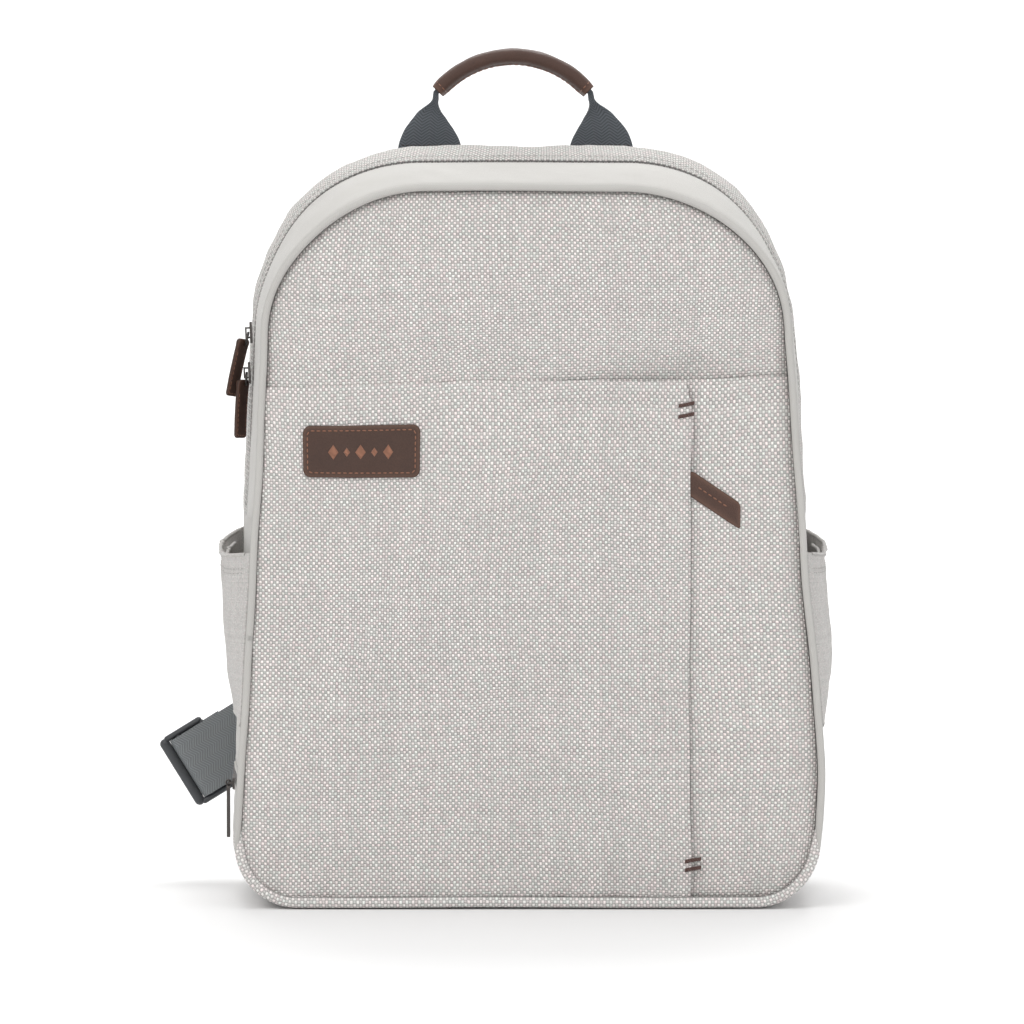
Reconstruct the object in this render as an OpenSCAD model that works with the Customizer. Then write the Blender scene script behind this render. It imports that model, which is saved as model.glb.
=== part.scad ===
// Diaper backpack: woven shell with an arched lid, front zip pocket, side bottle
// pockets, side-access lower compartment, carry handle and shoulder straps.
// Units are millimetres. +Z is up, -Y is the front, the bag stands on z = 0.

/* [Shell] */
// Top of the rear shell above the floor
shell_top = 421; // [418:0.5:424]
// Half width of the rear shell near the floor
shell_half_w = 165; // [163:0.5:167]
// Corner radius of the rear shell's top
top_r = 97; // [94:0.5:99]
// Corner radius of the shell at the floor
foot_r = 36; // [34:0.5:38]
// Position of the back face
back_y = 58; // [56:0.5:60]
// Position of the front face at floor level
front_y = -82; // [-86:0.5:-80]
// Backward lean of the front face, in mm per mm of height
front_lean = 0.0757; // [0.06:0.0005:0.085]
// Thickness of the shell fabric with its backing
shell_t = 2.5; // [2:0.1:3]

/* [Lid and main zip] */
// Height of the seam that the lid folds on
fold_z = 286; // [280:1:292]
// Depth position of the main zip
zip_y = -8; // [-12:0.5:-4]
// Height of the main zip's lower ends
zip_end_z = 226; // [222:1:232]

/* [Front pocket] */
// Position of the fly edge across the front
fly_x = 91; // [86:0.5:95]
// Rest height of the pocket zip's slider
pocket_slider_z = 238; // [150:1:250]

/* [Side pockets] */
// Height of the side pockets' rims
rim_z = 200; // [190:1:210]
// Height of the side pockets' bottoms
pocket_foot_z = 100; // [96:1:110]
// How far the rims stand out from the sides
rim_out = 15; // [10:0.5:18]

/* [Handle] */
// Radius of the handle sleeve's arc
handle_r = 61.5; // [58:0.5:64]
// Half of the sleeve's arc
handle_half = 47.6; // [42:0.2:50]
// Webbing width of the handle's feet and the straps
webbing_w = 38; // [34:1:38]

/* [Straps] */
// Width of the padded shoulder straps
pad_w = 62; // [54:1:66]
// Thickness of the padded shoulder straps
pad_t = 11; // [8:0.5:12]

/* [Hidden] */

weave = [0.80, 0.78, 0.76];
twill = [0.74, 0.73, 0.71];
melange = [0.77, 0.75, 0.74];
leather = [0.30, 0.22, 0.19];
webbing = [0.33, 0.35, 0.37];
plastic = [0.22, 0.24, 0.25];
metal = [0.28, 0.28, 0.29];
mesh_grey = [0.62, 0.62, 0.61];
lining_c = [0.86, 0.86, 0.84];
coil = [0.45, 0.44, 0.43];

lean_a = atan(front_lean);

// A station is an outline in the XZ plane: two top corner circles at (+-cx, cz) of radius R, two foot circles at
// (+-bx, bz) of radius r, joined by their tangents, at depth y0 + ky * z. Fields: cx, cz, R, bx, bz, r, y0, ky.
sF = [55, 309, 88.5, 127.5, 35, 31, front_y, front_lean];
sM = [55.5, 311.5, 89.5, 126, 33.5, 33.5, -66, 0.05];
sZ = [58, 320, 93, 129, 34, 34, zip_y, 0];
sR = [57, shell_top - top_r, top_r, shell_half_w - foot_r, foot_r, foot_r, 22, 0];
sB = [57, shell_top - top_r, top_r - 1.5, shell_half_w - foot_r, foot_r, foot_r, 52, 0];
sE = [57, shell_top - top_r, top_r - 6, shell_half_w - foot_r, foot_r, foot_r - 5, back_y, 0];
function mix(a, b, t) = [for (i = [0:7]) a[i] * (1 - t) + b[i] * t];
function at_y(s, y) = [s[0], s[1], s[2], s[3], s[4], s[5], y, 0];
sZf = at_y(mix(sM, sZ, 0.92), zip_y - 4);
sZr = at_y(mix(sZ, sR, 0.13), zip_y + 4);

function tilt(s) = let (D = [s[3] - s[0], s[4] - s[1]]) atan2(D[1], D[0]) + acos((s[2] - s[5]) / norm(D));
function side_x(s, z, d) = let (f = tilt(s)) (cos(f) * s[0] + sin(f) * s[1] + s[2] - d - sin(f) * z) / cos(f);
function p3(s, x, z) = [x, s[6] + s[7] * z, z];
function levels(a, b, n) = [for (i = [0:n]) a + (b - a) * i / n];
// Right half outlines, each listed from its lower end upwards.
function half_arch(s, d, z0, n) = concat(
  [for (z = levels(z0, 303, 3)) [side_x(s, z, d), z]],
  [for (t = levels(tilt(s), 90, n)) [s[0] + (s[2] - d) * cos(t), s[1] + (s[2] - d) * sin(t)]]);
function half_foot(s, d, z1, n) = concat(
  [for (t = levels(-90, tilt(s), n)) [s[3] + (s[5] - d) * cos(t), s[4] + (s[5] - d) * sin(t)]],
  [[side_x(s, z1, d), z1]]);
function mirrored(l) = [for (i = [len(l) - 1:-1:0]) [-l[i][0], l[i][1]]];
function flip(l) = [for (i = [len(l) - 1:-1:0]) l[i]];
// Whole arch from its left lower end over the top to its right lower end, and the whole foot the same way.
function arch(s, d, z0, n = 12) = let (h = half_arch(s, d, z0, n)) concat([for (p = h) [-p[0], p[1]]], [[0, s[1] + s[2] - d]], flip(h));
// The same arch with no point along its straight runs, for flat sheets.
function plain_arch(s, d, z0, n = 12) = let (h = concat([[side_x(s, z0, d), z0]],
  [for (t = levels(tilt(s), 90, n)) [s[0] + (s[2] - d) * cos(t), s[1] + (s[2] - d) * sin(t)]])) concat([for (p = h) [-p[0], p[1]]], flip(h));
function foot(s, d, z1, n = 7) = let (h = half_foot(s, d, z1, n)) concat([for (p = flip(h)) [-p[0], p[1]]], [[0, s[4] - s[5] + d]], h);
function side(s, d, z0, z1, sg) = [for (z = levels(z0, z1, 5)) [sg * side_x(s, z, d), z]];
function grid(stations, rings) = [for (j = [0:len(stations) - 1]) [for (p = rings[j]) p3(stations[j], p[0], p[1])]];

// A closed sheet between an outer and an inner grid of points, given as rows of equal length.
module patch(O, I) {
  m = len(O);
  n = len(O[0]);
  pts = concat([for (r = O) each r], [for (r = I) each r]);
  function o(j, i) = j * n + i;
  function k(j, i) = m * n + j * n + i;
  faces = concat(
    [for (j = [0:m - 2], i = [0:n - 2]) each [[o(j, i), o(j + 1, i), o(j + 1, i + 1)], [o(j, i), o(j + 1, i + 1), o(j, i + 1)]]],
    [for (j = [0:m - 2], i = [0:n - 2]) each [[k(j, i), k(j + 1, i + 1), k(j + 1, i)], [k(j, i), k(j, i + 1), k(j + 1, i + 1)]]],
    [for (i = [0:n - 2]) each [[o(0, i), o(0, i + 1), k(0, i + 1)], [o(0, i), k(0, i + 1), k(0, i)]]],
    [for (i = [0:n - 2]) each [[o(m - 1, i), k(m - 1, i + 1), o(m - 1, i + 1)], [o(m - 1, i), k(m - 1, i), k(m - 1, i + 1)]]],
    [for (j = [0:m - 2]) each [[o(j, 0), k(j + 1, 0), o(j + 1, 0)], [o(j, 0), k(j, 0), k(j + 1, 0)]]],
    [for (j = [0:m - 2]) each [[o(j, n - 1), o(j + 1, n - 1), k(j + 1, n - 1)], [o(j, n - 1), k(j + 1, n - 1), k(j, n - 1)]]]);
  polyhedron(pts, faces, convexity = 8);
}
// A tube or strip of sections, each a list of points that run the same way round.
module tube(S) {
  m = len(S);
  n = len(S[0]);
  pts = [for (r = S) each r];
  faces = concat(
    [for (j = [0:m - 2], i = [0:n - 1]) each [[j * n + i, j * n + (i + 1) % n, (j + 1) * n + (i + 1) % n], [j * n + i, (j + 1) * n + (i + 1) % n, (j + 1) * n + i]]],
    [[for (i = [n - 1:-1:0]) i]],
    [[for (i = [0:n - 1]) (m - 1) * n + i]]);
  polyhedron(pts, faces, convexity = 8);
}
function unit(v) = v / norm(v);
function tangent(P, i) = unit(P[min(i + 1, len(P) - 1)] - P[max(i - 1, 0)]);
// Section of half width a along W and half thickness b along N; corners cut by c.
function section(C, W, N, a, b, c) = c == 0
  ? [C - W * a - N * b, C + W * a - N * b, C + W * a + N * b, C - W * a + N * b]
  : [C - W * (a - c) - N * b, C + W * (a - c) - N * b, C + W * a - N * (b - c), C + W * a + N * (b - c),
     C + W * (a - c) + N * b, C - W * (a - c) + N * b, C - W * a + N * (b - c), C - W * a - N * (b - c)];
function ring(C, T, U, r, n) = let (N = unit(cross(T, U)), V = cross(N, T)) [for (i = [0:n - 1]) C + r * (cos(360 * i / n) * V + sin(360 * i / n) * N)];
// A band of the shell: the stations that it runs through, its end height, and its two depths below the surface.
module arch_band(st, z0, d0, d1, n = 12) {
  patch(grid(st, [for (s = st) arch(s, d0, z0, n)]), grid(st, [for (s = st) arch(s, d1, z0, n)]));
}
module side_band(st, z0, z1, d0, d1, sg) {
  O = grid(st, [for (s = st) side(s, d0, z0, z1, sg)]);
  I = grid(st, [for (s = st) side(s, d1, z0, z1, sg)]);
  if (sg < 0) patch(O, I); else patch(I, O);
}
module foot_band(st, z1, d0, d1) {
  patch(grid(st, [for (s = st) foot(s, d1, z1)]), grid(st, [for (s = st) foot(s, d0, z1)]));
}
// A flat sheet in the leaning front plane, from depth s0 to depth s1 in front of it. The points go anticlockwise seen from the front.
function front_p(p, s) = [p[0], front_y + front_lean * p[1] - s, p[1]];
module front_sheet(pts, s0, s1) {
  n = len(pts);
  P = concat([for (p = pts) front_p(p, s0)], [for (p = pts) front_p(p, s1)]);
  polyhedron(P, concat(
    [[for (i = [0:n - 1]) i], [for (i = [n - 1:-1:0]) n + i]],
    [for (i = [0:n - 1]) each [[i, n + i, n + (i + 1) % n], [i, n + (i + 1) % n, (i + 1) % n]]]), convexity = 4);
}
// Front-plane frame: x stays x, y becomes depth (negative is out), z runs up the leaning face.
module on_front(x, z) { translate([x, front_y + front_lean * z, z]) rotate([-lean_a, 0, 0]) children(); }
module slab(y0, y1) { translate([0, y1, 0]) rotate([90, 0, 0]) linear_extrude(y1 - y0) children(); }
module rounded(w, h, r) {
  square([w - 2 * r, h], center = true);
  square([w, h - 2 * r], center = true);
  for (x = [-1, 1], y = [-1, 1]) translate([x * (w / 2 - r), y * (h / 2 - r)]) circle(r, $fn = 32);
}

// ---- shell ----
module back_panel() { color(weave) patch(
  [for (y = [back_y + 0.1, back_y + 3]) [for (p = arch(sE, y > back_y + 1 ? 2 : 0, 40)) [p[0], y, p[1]]]],
  [for (y = [back_y + 0.1, back_y + 3]) [for (p = back_floor(y > back_y + 1 ? 2 : 0)) [p[0], y, p[1]]]]); }
function back_floor(d) = let (a = arch(sE, d, 40), f = foot(sE, d, 38)) [for (i = [0:len(a) - 1]) let (t = i / (len(a) - 1) * (len(f) - 1), k = min(floor(t), len(f) - 2)) f[k] * (1 - t + k) + f[k + 1] * (t - k)];
module back_pads() { color(mesh_grey) for (sg = [-1, 1]) translate([sg * 58, 0, 252]) slab(back_y + 3.2, back_y + 12) rounded(88, 190, 18); }
module lumbar_pad() { color(mesh_grey) translate([0, 0, 96]) slab(back_y + 3.2, back_y + 13) rounded(214, 92, 20); }
module strap_yoke() { color(weave) {
  translate([0, 0, 378]) slab(back_y + 3.2, back_y + 6.2) rounded(176, 44, 8);
  for (m = [0, 1]) mirror([m, 0, 0]) tube([for (q = [[-46, 65.4, 391], [-46.5, 72.5, 392], [-47, 81, 386.5], [-47.3, 86, 379.5]])
    section([q[0], q[1], q[2]], [1, 0, 0], unit([0, (q[2] - 372) / 20, (q[1] - 60) / 20]), 29, 2.2, 0)]);
} }
module rear_gusset() { color(weave) arch_band([sZr, sR, sB, sE], 214, 0, shell_t); }
module side_panel(sg) { color(twill) side_band([sF, sM, sZ, sR, sB, sE], 38, 213.8, 0, shell_t, sg); }
module front_gusset() { color(twill) for (sg = [-1, 1]) side_band([sF, sM, sZf], 214, fold_z - 0.2, 0, shell_t, sg); }
module base_panel() { color(weave) foot_band([sF, sM, sZ, sR, sB, sE], 37.8, 0, shell_t); }
module base_board() { color(plastic) translate([-120, -58, 3]) cube([240, 102, 2]); }
module compartment_floor() { color(lining_c) translate([0, 0, 96]) linear_extrude(1.5)
  polygon([[-148, -68], [148, -68], [153, -8], [154, 22], [151, 50], [-151, 50], [-154, 22], [-153, -8]]); }

// ---- front ----
low_F = foot(sF, 2.6, fold_z - 0.4);
function left_of(l, x) = [for (p = l) if (p[0] < x - 0.5) p];
function right_of(l, x) = [for (p = l) if (p[0] > x + 0.5) p];
module front_wall() { color(lining_c) front_sheet(foot(sF, 2.7, fold_z - 0.6), -4.6, -3.2); }
module pocket_panel() { color(weave) front_sheet(concat(left_of(low_F, fly_x), [[fly_x, 6.6], [fly_x, fold_z - 0.4]]), 2, 4); }
module front_side_panel() { color(weave) front_sheet(concat([[fly_x + 2, fold_z - 0.4], [fly_x + 2, 6.6]], right_of(low_F, fly_x + 2)), -2.6, -0.6); }
module pocket_zip_tapes() { color(twill) for (x = [[fly_x - 12.5, fly_x - 5.3], [fly_x - 4.7, fly_x + 1.7]])
  front_sheet([[x[0], fold_z - 6], [x[0], 14], [x[1], 14], [x[1], fold_z - 6]], -3.1, -2.7); }
module pocket_zip_teeth() { color(coil) for (x = [[fly_x - 7.6, fly_x - 5.1], [fly_x - 4.9, fly_x - 2.4]])
  front_sheet([[x[0], fold_z - 12], [x[0], 22], [x[1], 22], [x[1], fold_z - 12]], -2.6, -0.9); }
module bar_tacks() { color(leather) for (z = [24.5, 29, 270.5, 275]) on_front(fly_x - 4.2, z) translate([-3.8, -4.9, -0.8]) cube([7.8, 0.8, 1.6]); }
module label_patch() { color(leather) on_front(-90.2, 252) translate([0, -4.1, 0]) rotate([90, 0, 0]) linear_extrude(2) rounded(64, 27, 4.5); }
function ring_F(p, s = 2.35) = front_p(p, s);
module piping_upper() { P = [for (p = arch(sF, 0, fold_z + 0.6, 16)) ring_F(p)];
  tube([for (i = [0:len(P) - 1]) ring(P[i], tangent(P, i), [0, 1, front_lean * 0], 2.1, 8)]); }
module piping_lower() { color(twill) { P = [for (p = foot(sF, 0, fold_z - 0.6, 9)) ring_F(p)];
  tube([for (i = [0:len(P) - 1]) ring(P[i], tangent(P, i), [0, 1, 0], 2.1, 8)]); } }

// ---- lid ----
module lid_panel() { color(weave) front_sheet(flip(plain_arch(sF, 2.5, fold_z + 0.4)), -0.8, 1.6); }
module lid_gusset() { color(twill) arch_band([sF, sM, sZf], fold_z + 0.2, 0, shell_t); }
module lid_piping() { color(twill) piping_upper(); }
function zs(y) = at_y(mix(sM, sZ, (y + 50) / (zip_y + 50)), y);
function zr(y) = at_y(mix(sZ, sR, (y - zip_y) / (22 - zip_y)), y);
module lid_zip_tape() { color(twill) arch_band([zs(zip_y - 12), zs(zip_y - 0.8)], fold_z + 0.2, 2.7, 3.3); }
module lid_zip_teeth() { color(coil) arch_band([zs(zip_y - 2.6), zs(zip_y - 0.2)], fold_z + 0.2, 0.4, 2.5, 20); }
module zip_tape_rear() { color(twill) arch_band([zr(zip_y + 0.8), zr(zip_y + 12)], zip_end_z, 2.7, 3.3); }
module zip_teeth_rear() { color(coil) arch_band([zr(zip_y + 0.2), zr(zip_y + 2.6)], zip_end_z, 0.4, 2.5, 20); }
module zip_tape_front_lower() { color(twill) for (sg = [-1, 1]) side_band([zs(zip_y - 12), zs(zip_y - 0.8)], zip_end_z, fold_z - 0.2, 2.7, 3.3, sg); }
module zip_teeth_front_lower() { color(coil) for (sg = [-1, 1]) side_band([zs(zip_y - 2.6), zs(zip_y - 0.2)], zip_end_z, fold_z - 0.2, 0.4, 2.5, sg); }
module lid_lining() { color(lining_c) {
  arch_band([at_y(mix(sF, sM, 1), -38), zs(zip_y - 14)], fold_z + 8, 3.7, 4.3);
  front_sheet(flip(plain_arch(sF, 5, fold_z + 8)), -3.6, -2.8);
} }
module main_lining() { color(lining_c) {
  arch_band([zr(zip_y + 14), sR, at_y(sB, 50)], 102, 3.7, 4.3);
  translate([0, 51, 0]) slab(0, 0.8) polygon(plain_arch(sE, 6, 102));
  for (sg = [-1, 1]) side_band([at_y(mix(sF, sM, 1), -50), zs(zip_y - 14)], 102, fold_z - 8, 3.7, 4.3, sg);
} }

// ---- interior ----
module laptop_sleeve() { color(lining_c) translate([0, 0, 217]) slab(44, 49.5) rounded(250, 226, 12); }
module organizer_panel() { color(lining_c) front_sheet([[-110, 226], [-110, 104], [110, 104], [110, 226]], -12, -10.4); }

// ---- side pockets ----
function surf_x(y, z, d) = lookup(y, [for (s = [sF, sM, sZ, sR, sB, sE]) [s[6] + s[7] * z, side_x(s, z, d)]]);
function bulge(u) = 1 - pow(abs(u), 3.2);
function pocket_front(z) = front_y + front_lean * z + 1.6;
// A point of the pocket: u runs from -1 at its front seam to 1 at its rear seam.
function pocket_p(u, z, d) = let (y0 = pocket_front(z), y = (50 + y0) / 2 + u * (50 - y0) / 2)
  [surf_x(y, z, 0) + 0.2 + d + rim_out * bulge(u) * pow(max(0, (z - pocket_foot_z) / (rim_z - pocket_foot_z)), 0.75), y, z];
function flip_x(p, sg) = [sg * p[0], p[1], p[2]];
module side_pocket(sg) { color(melange)
  patch([for (u = levels(-1, 1, 12)) [for (z = levels(pocket_foot_z, rim_z, 5)) flip_x(pocket_p(u, z, sg > 0 ? 0 : 2), sg)]],
        [for (u = levels(-1, 1, 12)) [for (z = levels(pocket_foot_z, rim_z, 5)) flip_x(pocket_p(u, z, sg > 0 ? 2 : 0), sg)]]); }
module pocket_elastics() { color(plastic) for (sg = [-1, 1]) { P = [for (u = levels(-0.72, 0.72, 10)) flip_x(pocket_p(u, rim_z - 5, -1.6), sg)];
  tube([for (i = [0:len(P) - 1]) ring(P[i], tangent(P, i), [0, 0, 1], 1.1, 8)]); } }

// ---- lower compartment zip, on the left side ----
bz_z = 68;
module base_zip_tapes() { color(twill) for (z = [[60, 67.7], [68.3, 76]]) side_strip(z[0], z[1], 0.15, 0.75); }
module base_zip_teeth() { color(coil) for (z = [[65.6, 67.9], [68.1, 70.4]]) side_strip(z[0], z[1], 0.85, 2.1); }
module side_strip(z0, z1, h0, h1) patch(
  [for (y = [-72, -62.6, -35, zip_y, 20]) [for (z = [z0, z1]) [-surf_x(y, z, 0) - h1, y, z]]],
  [for (y = [-72, -62.6, -35, zip_y, 20]) [for (z = [z0, z1]) [-surf_x(y, z, 0) - h0, y, z]]]);

// ---- sliders and pulls ----
// A slider lies in its own XY plane with +Z out of the zip: a plate, a nose and a bail whose hole runs along X.
module slider_body(l = 12, w = 8.4, bail_w = 2) {
  linear_extrude(1.2) { translate([0, -l / 2 + 3]) rounded2(w, 6, 1.5); polygon([[-w / 2, -l / 2 + 3], [w / 2, -l / 2 + 3], [w * 0.34, l / 2], [-w * 0.34, l / 2]]); }
  for (y = [-3.2, 2.2]) translate([-bail_w / 2, y, 1.1]) cube([bail_w, 1, 2.6]);
  translate([-bail_w / 2, -3.2, 3]) cube([bail_w, 6.4, 0.9]);
}
module rounded2(w, h, r) rounded(w, h, r);
module torus(R, r) rotate_extrude($fn = 40) translate([R, 0]) circle(r, $fn = 20);
bail_h = 2.1;
// Side slider frame: local X is -Y of the bag, local Y runs down the side, local Z points out to the left.
function zip_side_p(z) = [-side_x(sZ, z, 0), zip_y, z];
side_slope = tilt(sZ);
module on_side(z, out) { translate(zip_side_p(z) + [-out, 0, 0]) rotate([0, -side_slope, 0]) rotate([0, -90, 0]) rotate([0, 0, 90]) children(); }
upper_z = 316.5;
lower_z = 294;
slider_out = 1.7;
module main_slider(z) { color(metal) on_side(z, slider_out) rotate([0, 0, 180]) slider_body(); }
function bail_p(z) = zip_side_p(z) + [-(slider_out + bail_h), 0, 0];
// The ring hangs from the bail; the leather tab folds round the ring's foot.
module pull_ring(z, a) { color(metal) translate(bail_p(z)) rotate([0, a, 0]) translate([0, 0, -3.4]) rotate([0, 90, 0]) torus(3.4, 0.6); }
module pull_tab(z, a, l) { color(leather) translate(bail_p(z)) rotate([0, a, 0]) translate([0.9, 0, -5.2 - l / 2]) rotate([0, -90, 0]) linear_extrude(1.8) rounded(l, 12, 2.2); }
upper_a = 12.4;
lower_a = 3.2;

// Front pocket slider, between the coil and the fly.
module pocket_slider() { color(metal) on_front(fly_x - 5, pocket_slider_z) rotate([90, 0, 0]) translate([0, 0, -0.8]) {
  linear_extrude(0.75) { rounded(8, 7, 1.5); polygon([[-4, 0], [4, 0], [2.6, -7], [-2.6, -7]]); }
  cylinder(r = 0.9, h = 2.3, $fn = 32);
} }
pp_a = -34;
module pocket_pull_ring() { color(metal) on_front(fly_x - 5, pocket_slider_z) rotate([90, 0, 0]) rotate([0, 0, pp_a]) translate([1.1, 0, 0.95]) torus(2.7, 0.5); }
module pocket_pull_tab() { color(leather) on_front(fly_x - 5, pocket_slider_z) rotate([90, 0, 0]) rotate([0, 0, pp_a]) translate([3.2 + 17, 0, 0.1]) linear_extrude(1.7) rounded(34, 12, 2.4); }

// Lower compartment slider, near the front edge of the left side.
bs_y = -61;
bs_out = 2.9;
bs_p = [-surf_x(bs_y, bz_z, 0) - bs_out, bs_y, bz_z];
module base_slider() { color(metal) translate(bs_p) rotate([0, 0, 2.2]) rotate([0, -90, 0]) rotate([0, 0, 180]) slider_body(13, 8.4, 1.2); }
// The lower pull's eye goes round the bail's bar.
module base_pull() { color(metal) translate(bs_p + [-3.45, 0, 0]) {
  rotate([90, 0, 0]) torus(1.4, 0.45);
  translate([-0.9, 0, -15.9]) rotate([0, 90, 0]) linear_extrude(1.8) difference() { rounded(29, 5.6, 1.6); translate([11, 0]) rounded(3.4, 2.6, 1); }
} }

// ---- handle ----
hy = back_y;
hz = 412.2;
module handle_webbing() { color(webbing) {
  leg = [[48.8, 418.6, 19, 0.9], [48.7, 424, 18.6, 1.0], [48.2, 432, 15, 1.5], [47.3, 441, 10, 2], [46.2, 449, 4.9, 2]];
  up = [for (q = leg) section([-q[0], hy, q[1]], [1, 0, 0], [0, 1, 0], q[2], q[3], 0)];
  arcs = [for (a = levels(90 + handle_half + 1.2, 90 - handle_half - 1.2, 14)) let (C = [handle_r * cos(a), hy, hz + handle_r * sin(a)], U = [cos(a), 0, sin(a)])
    [C + U * 1.6 - [0, 4.6, 0], C - U * 1.6 - [0, 4.6, 0], C - U * 1.6 + [0, 4.6, 0], C + U * 1.6 + [0, 4.6, 0]]];
  down = [for (i = [len(leg) - 1:-1:0]) let (q = leg[i]) section([q[0], hy, q[1]], [-1, 0, 0], [0, 1, 0], q[2], q[3], 0)];
  tube(concat(up, arcs, down));
} }
module handle_sleeve() { color(leather) translate([0, hy, hz]) rotate([90, 0, 0]) rotate([0, 0, 90 - handle_half]) rotate_extrude(angle = 2 * handle_half, $fn = 96)
  translate([handle_r, 0]) difference() { union() { square([6, 13], center = true); for (y = [-1, 1]) translate([0, y * 3.5]) circle(4.6, $fn = 32); square([9.2, 7], center = true); } square([3.9, 9.9], center = true); } }

// ---- shoulder straps ----
// Written for the left strap; the right one is its mirror image with the lock tucked behind the bag.
pad_path = [[-47.5, 90, 374], [-49, 97.5, 352], [-53, 103, 322], [-60, 106, 288], [-70, 106.5, 252], [-81, 104, 216], [-92, 99.5, 184], [-100, 95, 158]];
pad_half = [29, 31, 31, 30.5, 30, 29, 26, 21];
module strap_pad() { color(melange) tube([for (i = [0:len(pad_path) - 1]) let (T = tangent(pad_path, i), W = unit([1, 0, 0] - T * T[0]), N = cross(T, W))
  section(pad_path[i], W, N, pad_half[i] * pad_w / 62, pad_t / 2 - (i == 0 || i == len(pad_path) - 1 ? 2 : 0), 2.5)]); }
module ribbon(P, Ws, t) tube([for (i = [0:len(P) - 1]) let (T = tangent(P, i), W = unit(Ws[i] - T * (T * Ws[i])), N = cross(T, W)) section(P[i], W, N, webbing_w / 2, t / 2, 0)]);
// The lower webbing runs along da from its anchor point; its layers are given by distance along da and by depth.
anchor = [-148, 0, 91];
function low_p(da, a, b) = anchor + da * a + [0, b, 0];
function low_w(da) = [-da[2], 0, da[0]];
module webbing_lower(da, o) { color(webbing) { P = [for (q = [[8.6, 70.6], [18, 71.4], [26, 71.4], [44 + o, 71.2], [54 + o, 71.4], [60 + o, 72.6], [62.6 + o, 76], [60 + o, 79.6], [54 + o, 81.6], [43 + o, 84.8], [31 + o, 86.4]]) low_p(da, q[0], q[1])];
  ribbon(P, [for (p = P) low_w(da)], 1.5); } }
module ladder_lock(da, o) { color(plastic) { W = low_w(da);
  M = [[da[0], W[0], 0, 0], [0, 0, 1, 0], [da[2], W[2], 0, 0], [0, 0, 0, 1]];
  translate(low_p(da, 40 + o, 76)) multmatrix(M) {
    for (w = [-1, 1]) translate([0, w * 21.6 - 1.6, -2.4]) cube([29.5, 3.2, 4.8]);
    translate([27, -23.2, -2.6]) cube([4.2, 46.4, 5.2]);
    for (a = [1.9, 17.6]) translate([a, -20.4, 0]) rotate([-90, 0, 0]) cylinder(r = 1.9, h = 40.8, $fn = 32);
  } } }
module webbing_upper(P, Ws) { color(webbing) ribbon(P, Ws, 1.5); }
dl = [-0.852, 0, -0.5235];
dr = [0.25, 0, -0.9682];
up_l = [[-170.2, 90.6, 72.7], [-160.5, 92.6, 77.8], [-147.5, 94.5, 88], [-133.5, 96, 103.5], [-120, 96.5, 124], [-109, 96, 141], [-103.5, 95.3, 153.5]];
uw_l = [[0.5235, 0, -0.852], [0.55, 0, -0.83], [0.62, 0, -0.78], [0.72, 0, -0.69], [0.83, 0, -0.55], [0.9, 0, -0.42], [0.94, 0, -0.33]];
up_r = [[-139, 90.6, 63], [-134, 92.8, 73.3], [-127, 95, 90], [-118, 96.5, 109], [-110, 96.5, 128], [-105, 96, 142], [-102, 95.4, 153]];
uw_r = [[0.968, 0, 0.25], [0.975, 0, 0.1], [0.985, 0, -0.15], [0.95, 0, -0.3], [0.94, 0, -0.33], [0.94, 0, -0.33], [0.94, 0, -0.33]];
module anchor_tabs() { color(weave) for (m = [0, 1]) mirror([m, 0, 0]) { da = m == 0 ? dl : dr; W = low_w(da);
  tube([for (q = [[-8, 62.4, 21], [-2, 64.4, 20.5], [3, 67.4, 20], [6.4, 69.4, 19.8]]) let (c = low_p(da, q[0], q[1]), a = W * q[2], n = [0, 1.1, 0] - da * 0.3)
    [c - a - n, c + a - n, c + a + n, c - a + n]]); } }

module left_strap_pad() { strap_pad(); }
module left_webbing_upper() { webbing_upper(up_l, uw_l); }
module left_webbing_lower() { webbing_lower(dl, -8); }
module left_ladder_lock() { ladder_lock(dl, -8); }
module right_strap_pad() { mirror([1, 0, 0]) strap_pad(); }
module right_webbing_upper() { mirror([1, 0, 0]) webbing_upper(up_r, uw_r); }
module right_webbing_lower() { mirror([1, 0, 0]) webbing_lower(dr, -16); }
module right_ladder_lock() { mirror([1, 0, 0]) ladder_lock(dr, -16); }

back_panel();
back_pads();
lumbar_pad();
strap_yoke();
rear_gusset();
side_panel(-1);  // side_panel_left
side_panel(1);  // side_panel_right
front_gusset();
base_panel();
base_board();
front_wall();
pocket_panel();
front_side_panel();
piping_lower();
pocket_zip_tapes();
pocket_zip_teeth();
bar_tacks();
label_patch();
zip_tape_rear();
zip_teeth_rear();
zip_tape_front_lower();
zip_teeth_front_lower();
base_zip_tapes();
base_zip_teeth();
compartment_floor();
laptop_sleeve();
organizer_panel();
main_lining();
side_pocket(-1);  // side_pocket_left
side_pocket(1);  // side_pocket_right
pocket_elastics();
anchor_tabs();
lid_panel();
lid_gusset();
lid_piping();
lid_zip_tape();
lid_zip_teeth();
lid_lining();
handle_webbing();
handle_sleeve();
main_slider(upper_z);  // main_slider_upper
pull_ring(upper_z, upper_a);  // main_pull_upper_ring
pull_tab(upper_z, upper_a, 31);  // main_pull_upper_tab
main_slider(lower_z);  // main_slider_lower
pull_ring(lower_z, lower_a);  // main_pull_lower_ring
pull_tab(lower_z, lower_a, 31);  // main_pull_lower_tab
pocket_slider();
pocket_pull_ring();
pocket_pull_tab();
base_slider();
base_pull();
left_strap_pad();
left_webbing_upper();
left_webbing_lower();
left_ladder_lock();
right_strap_pad();
right_webbing_upper();
right_webbing_lower();
right_ladder_lock();
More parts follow.
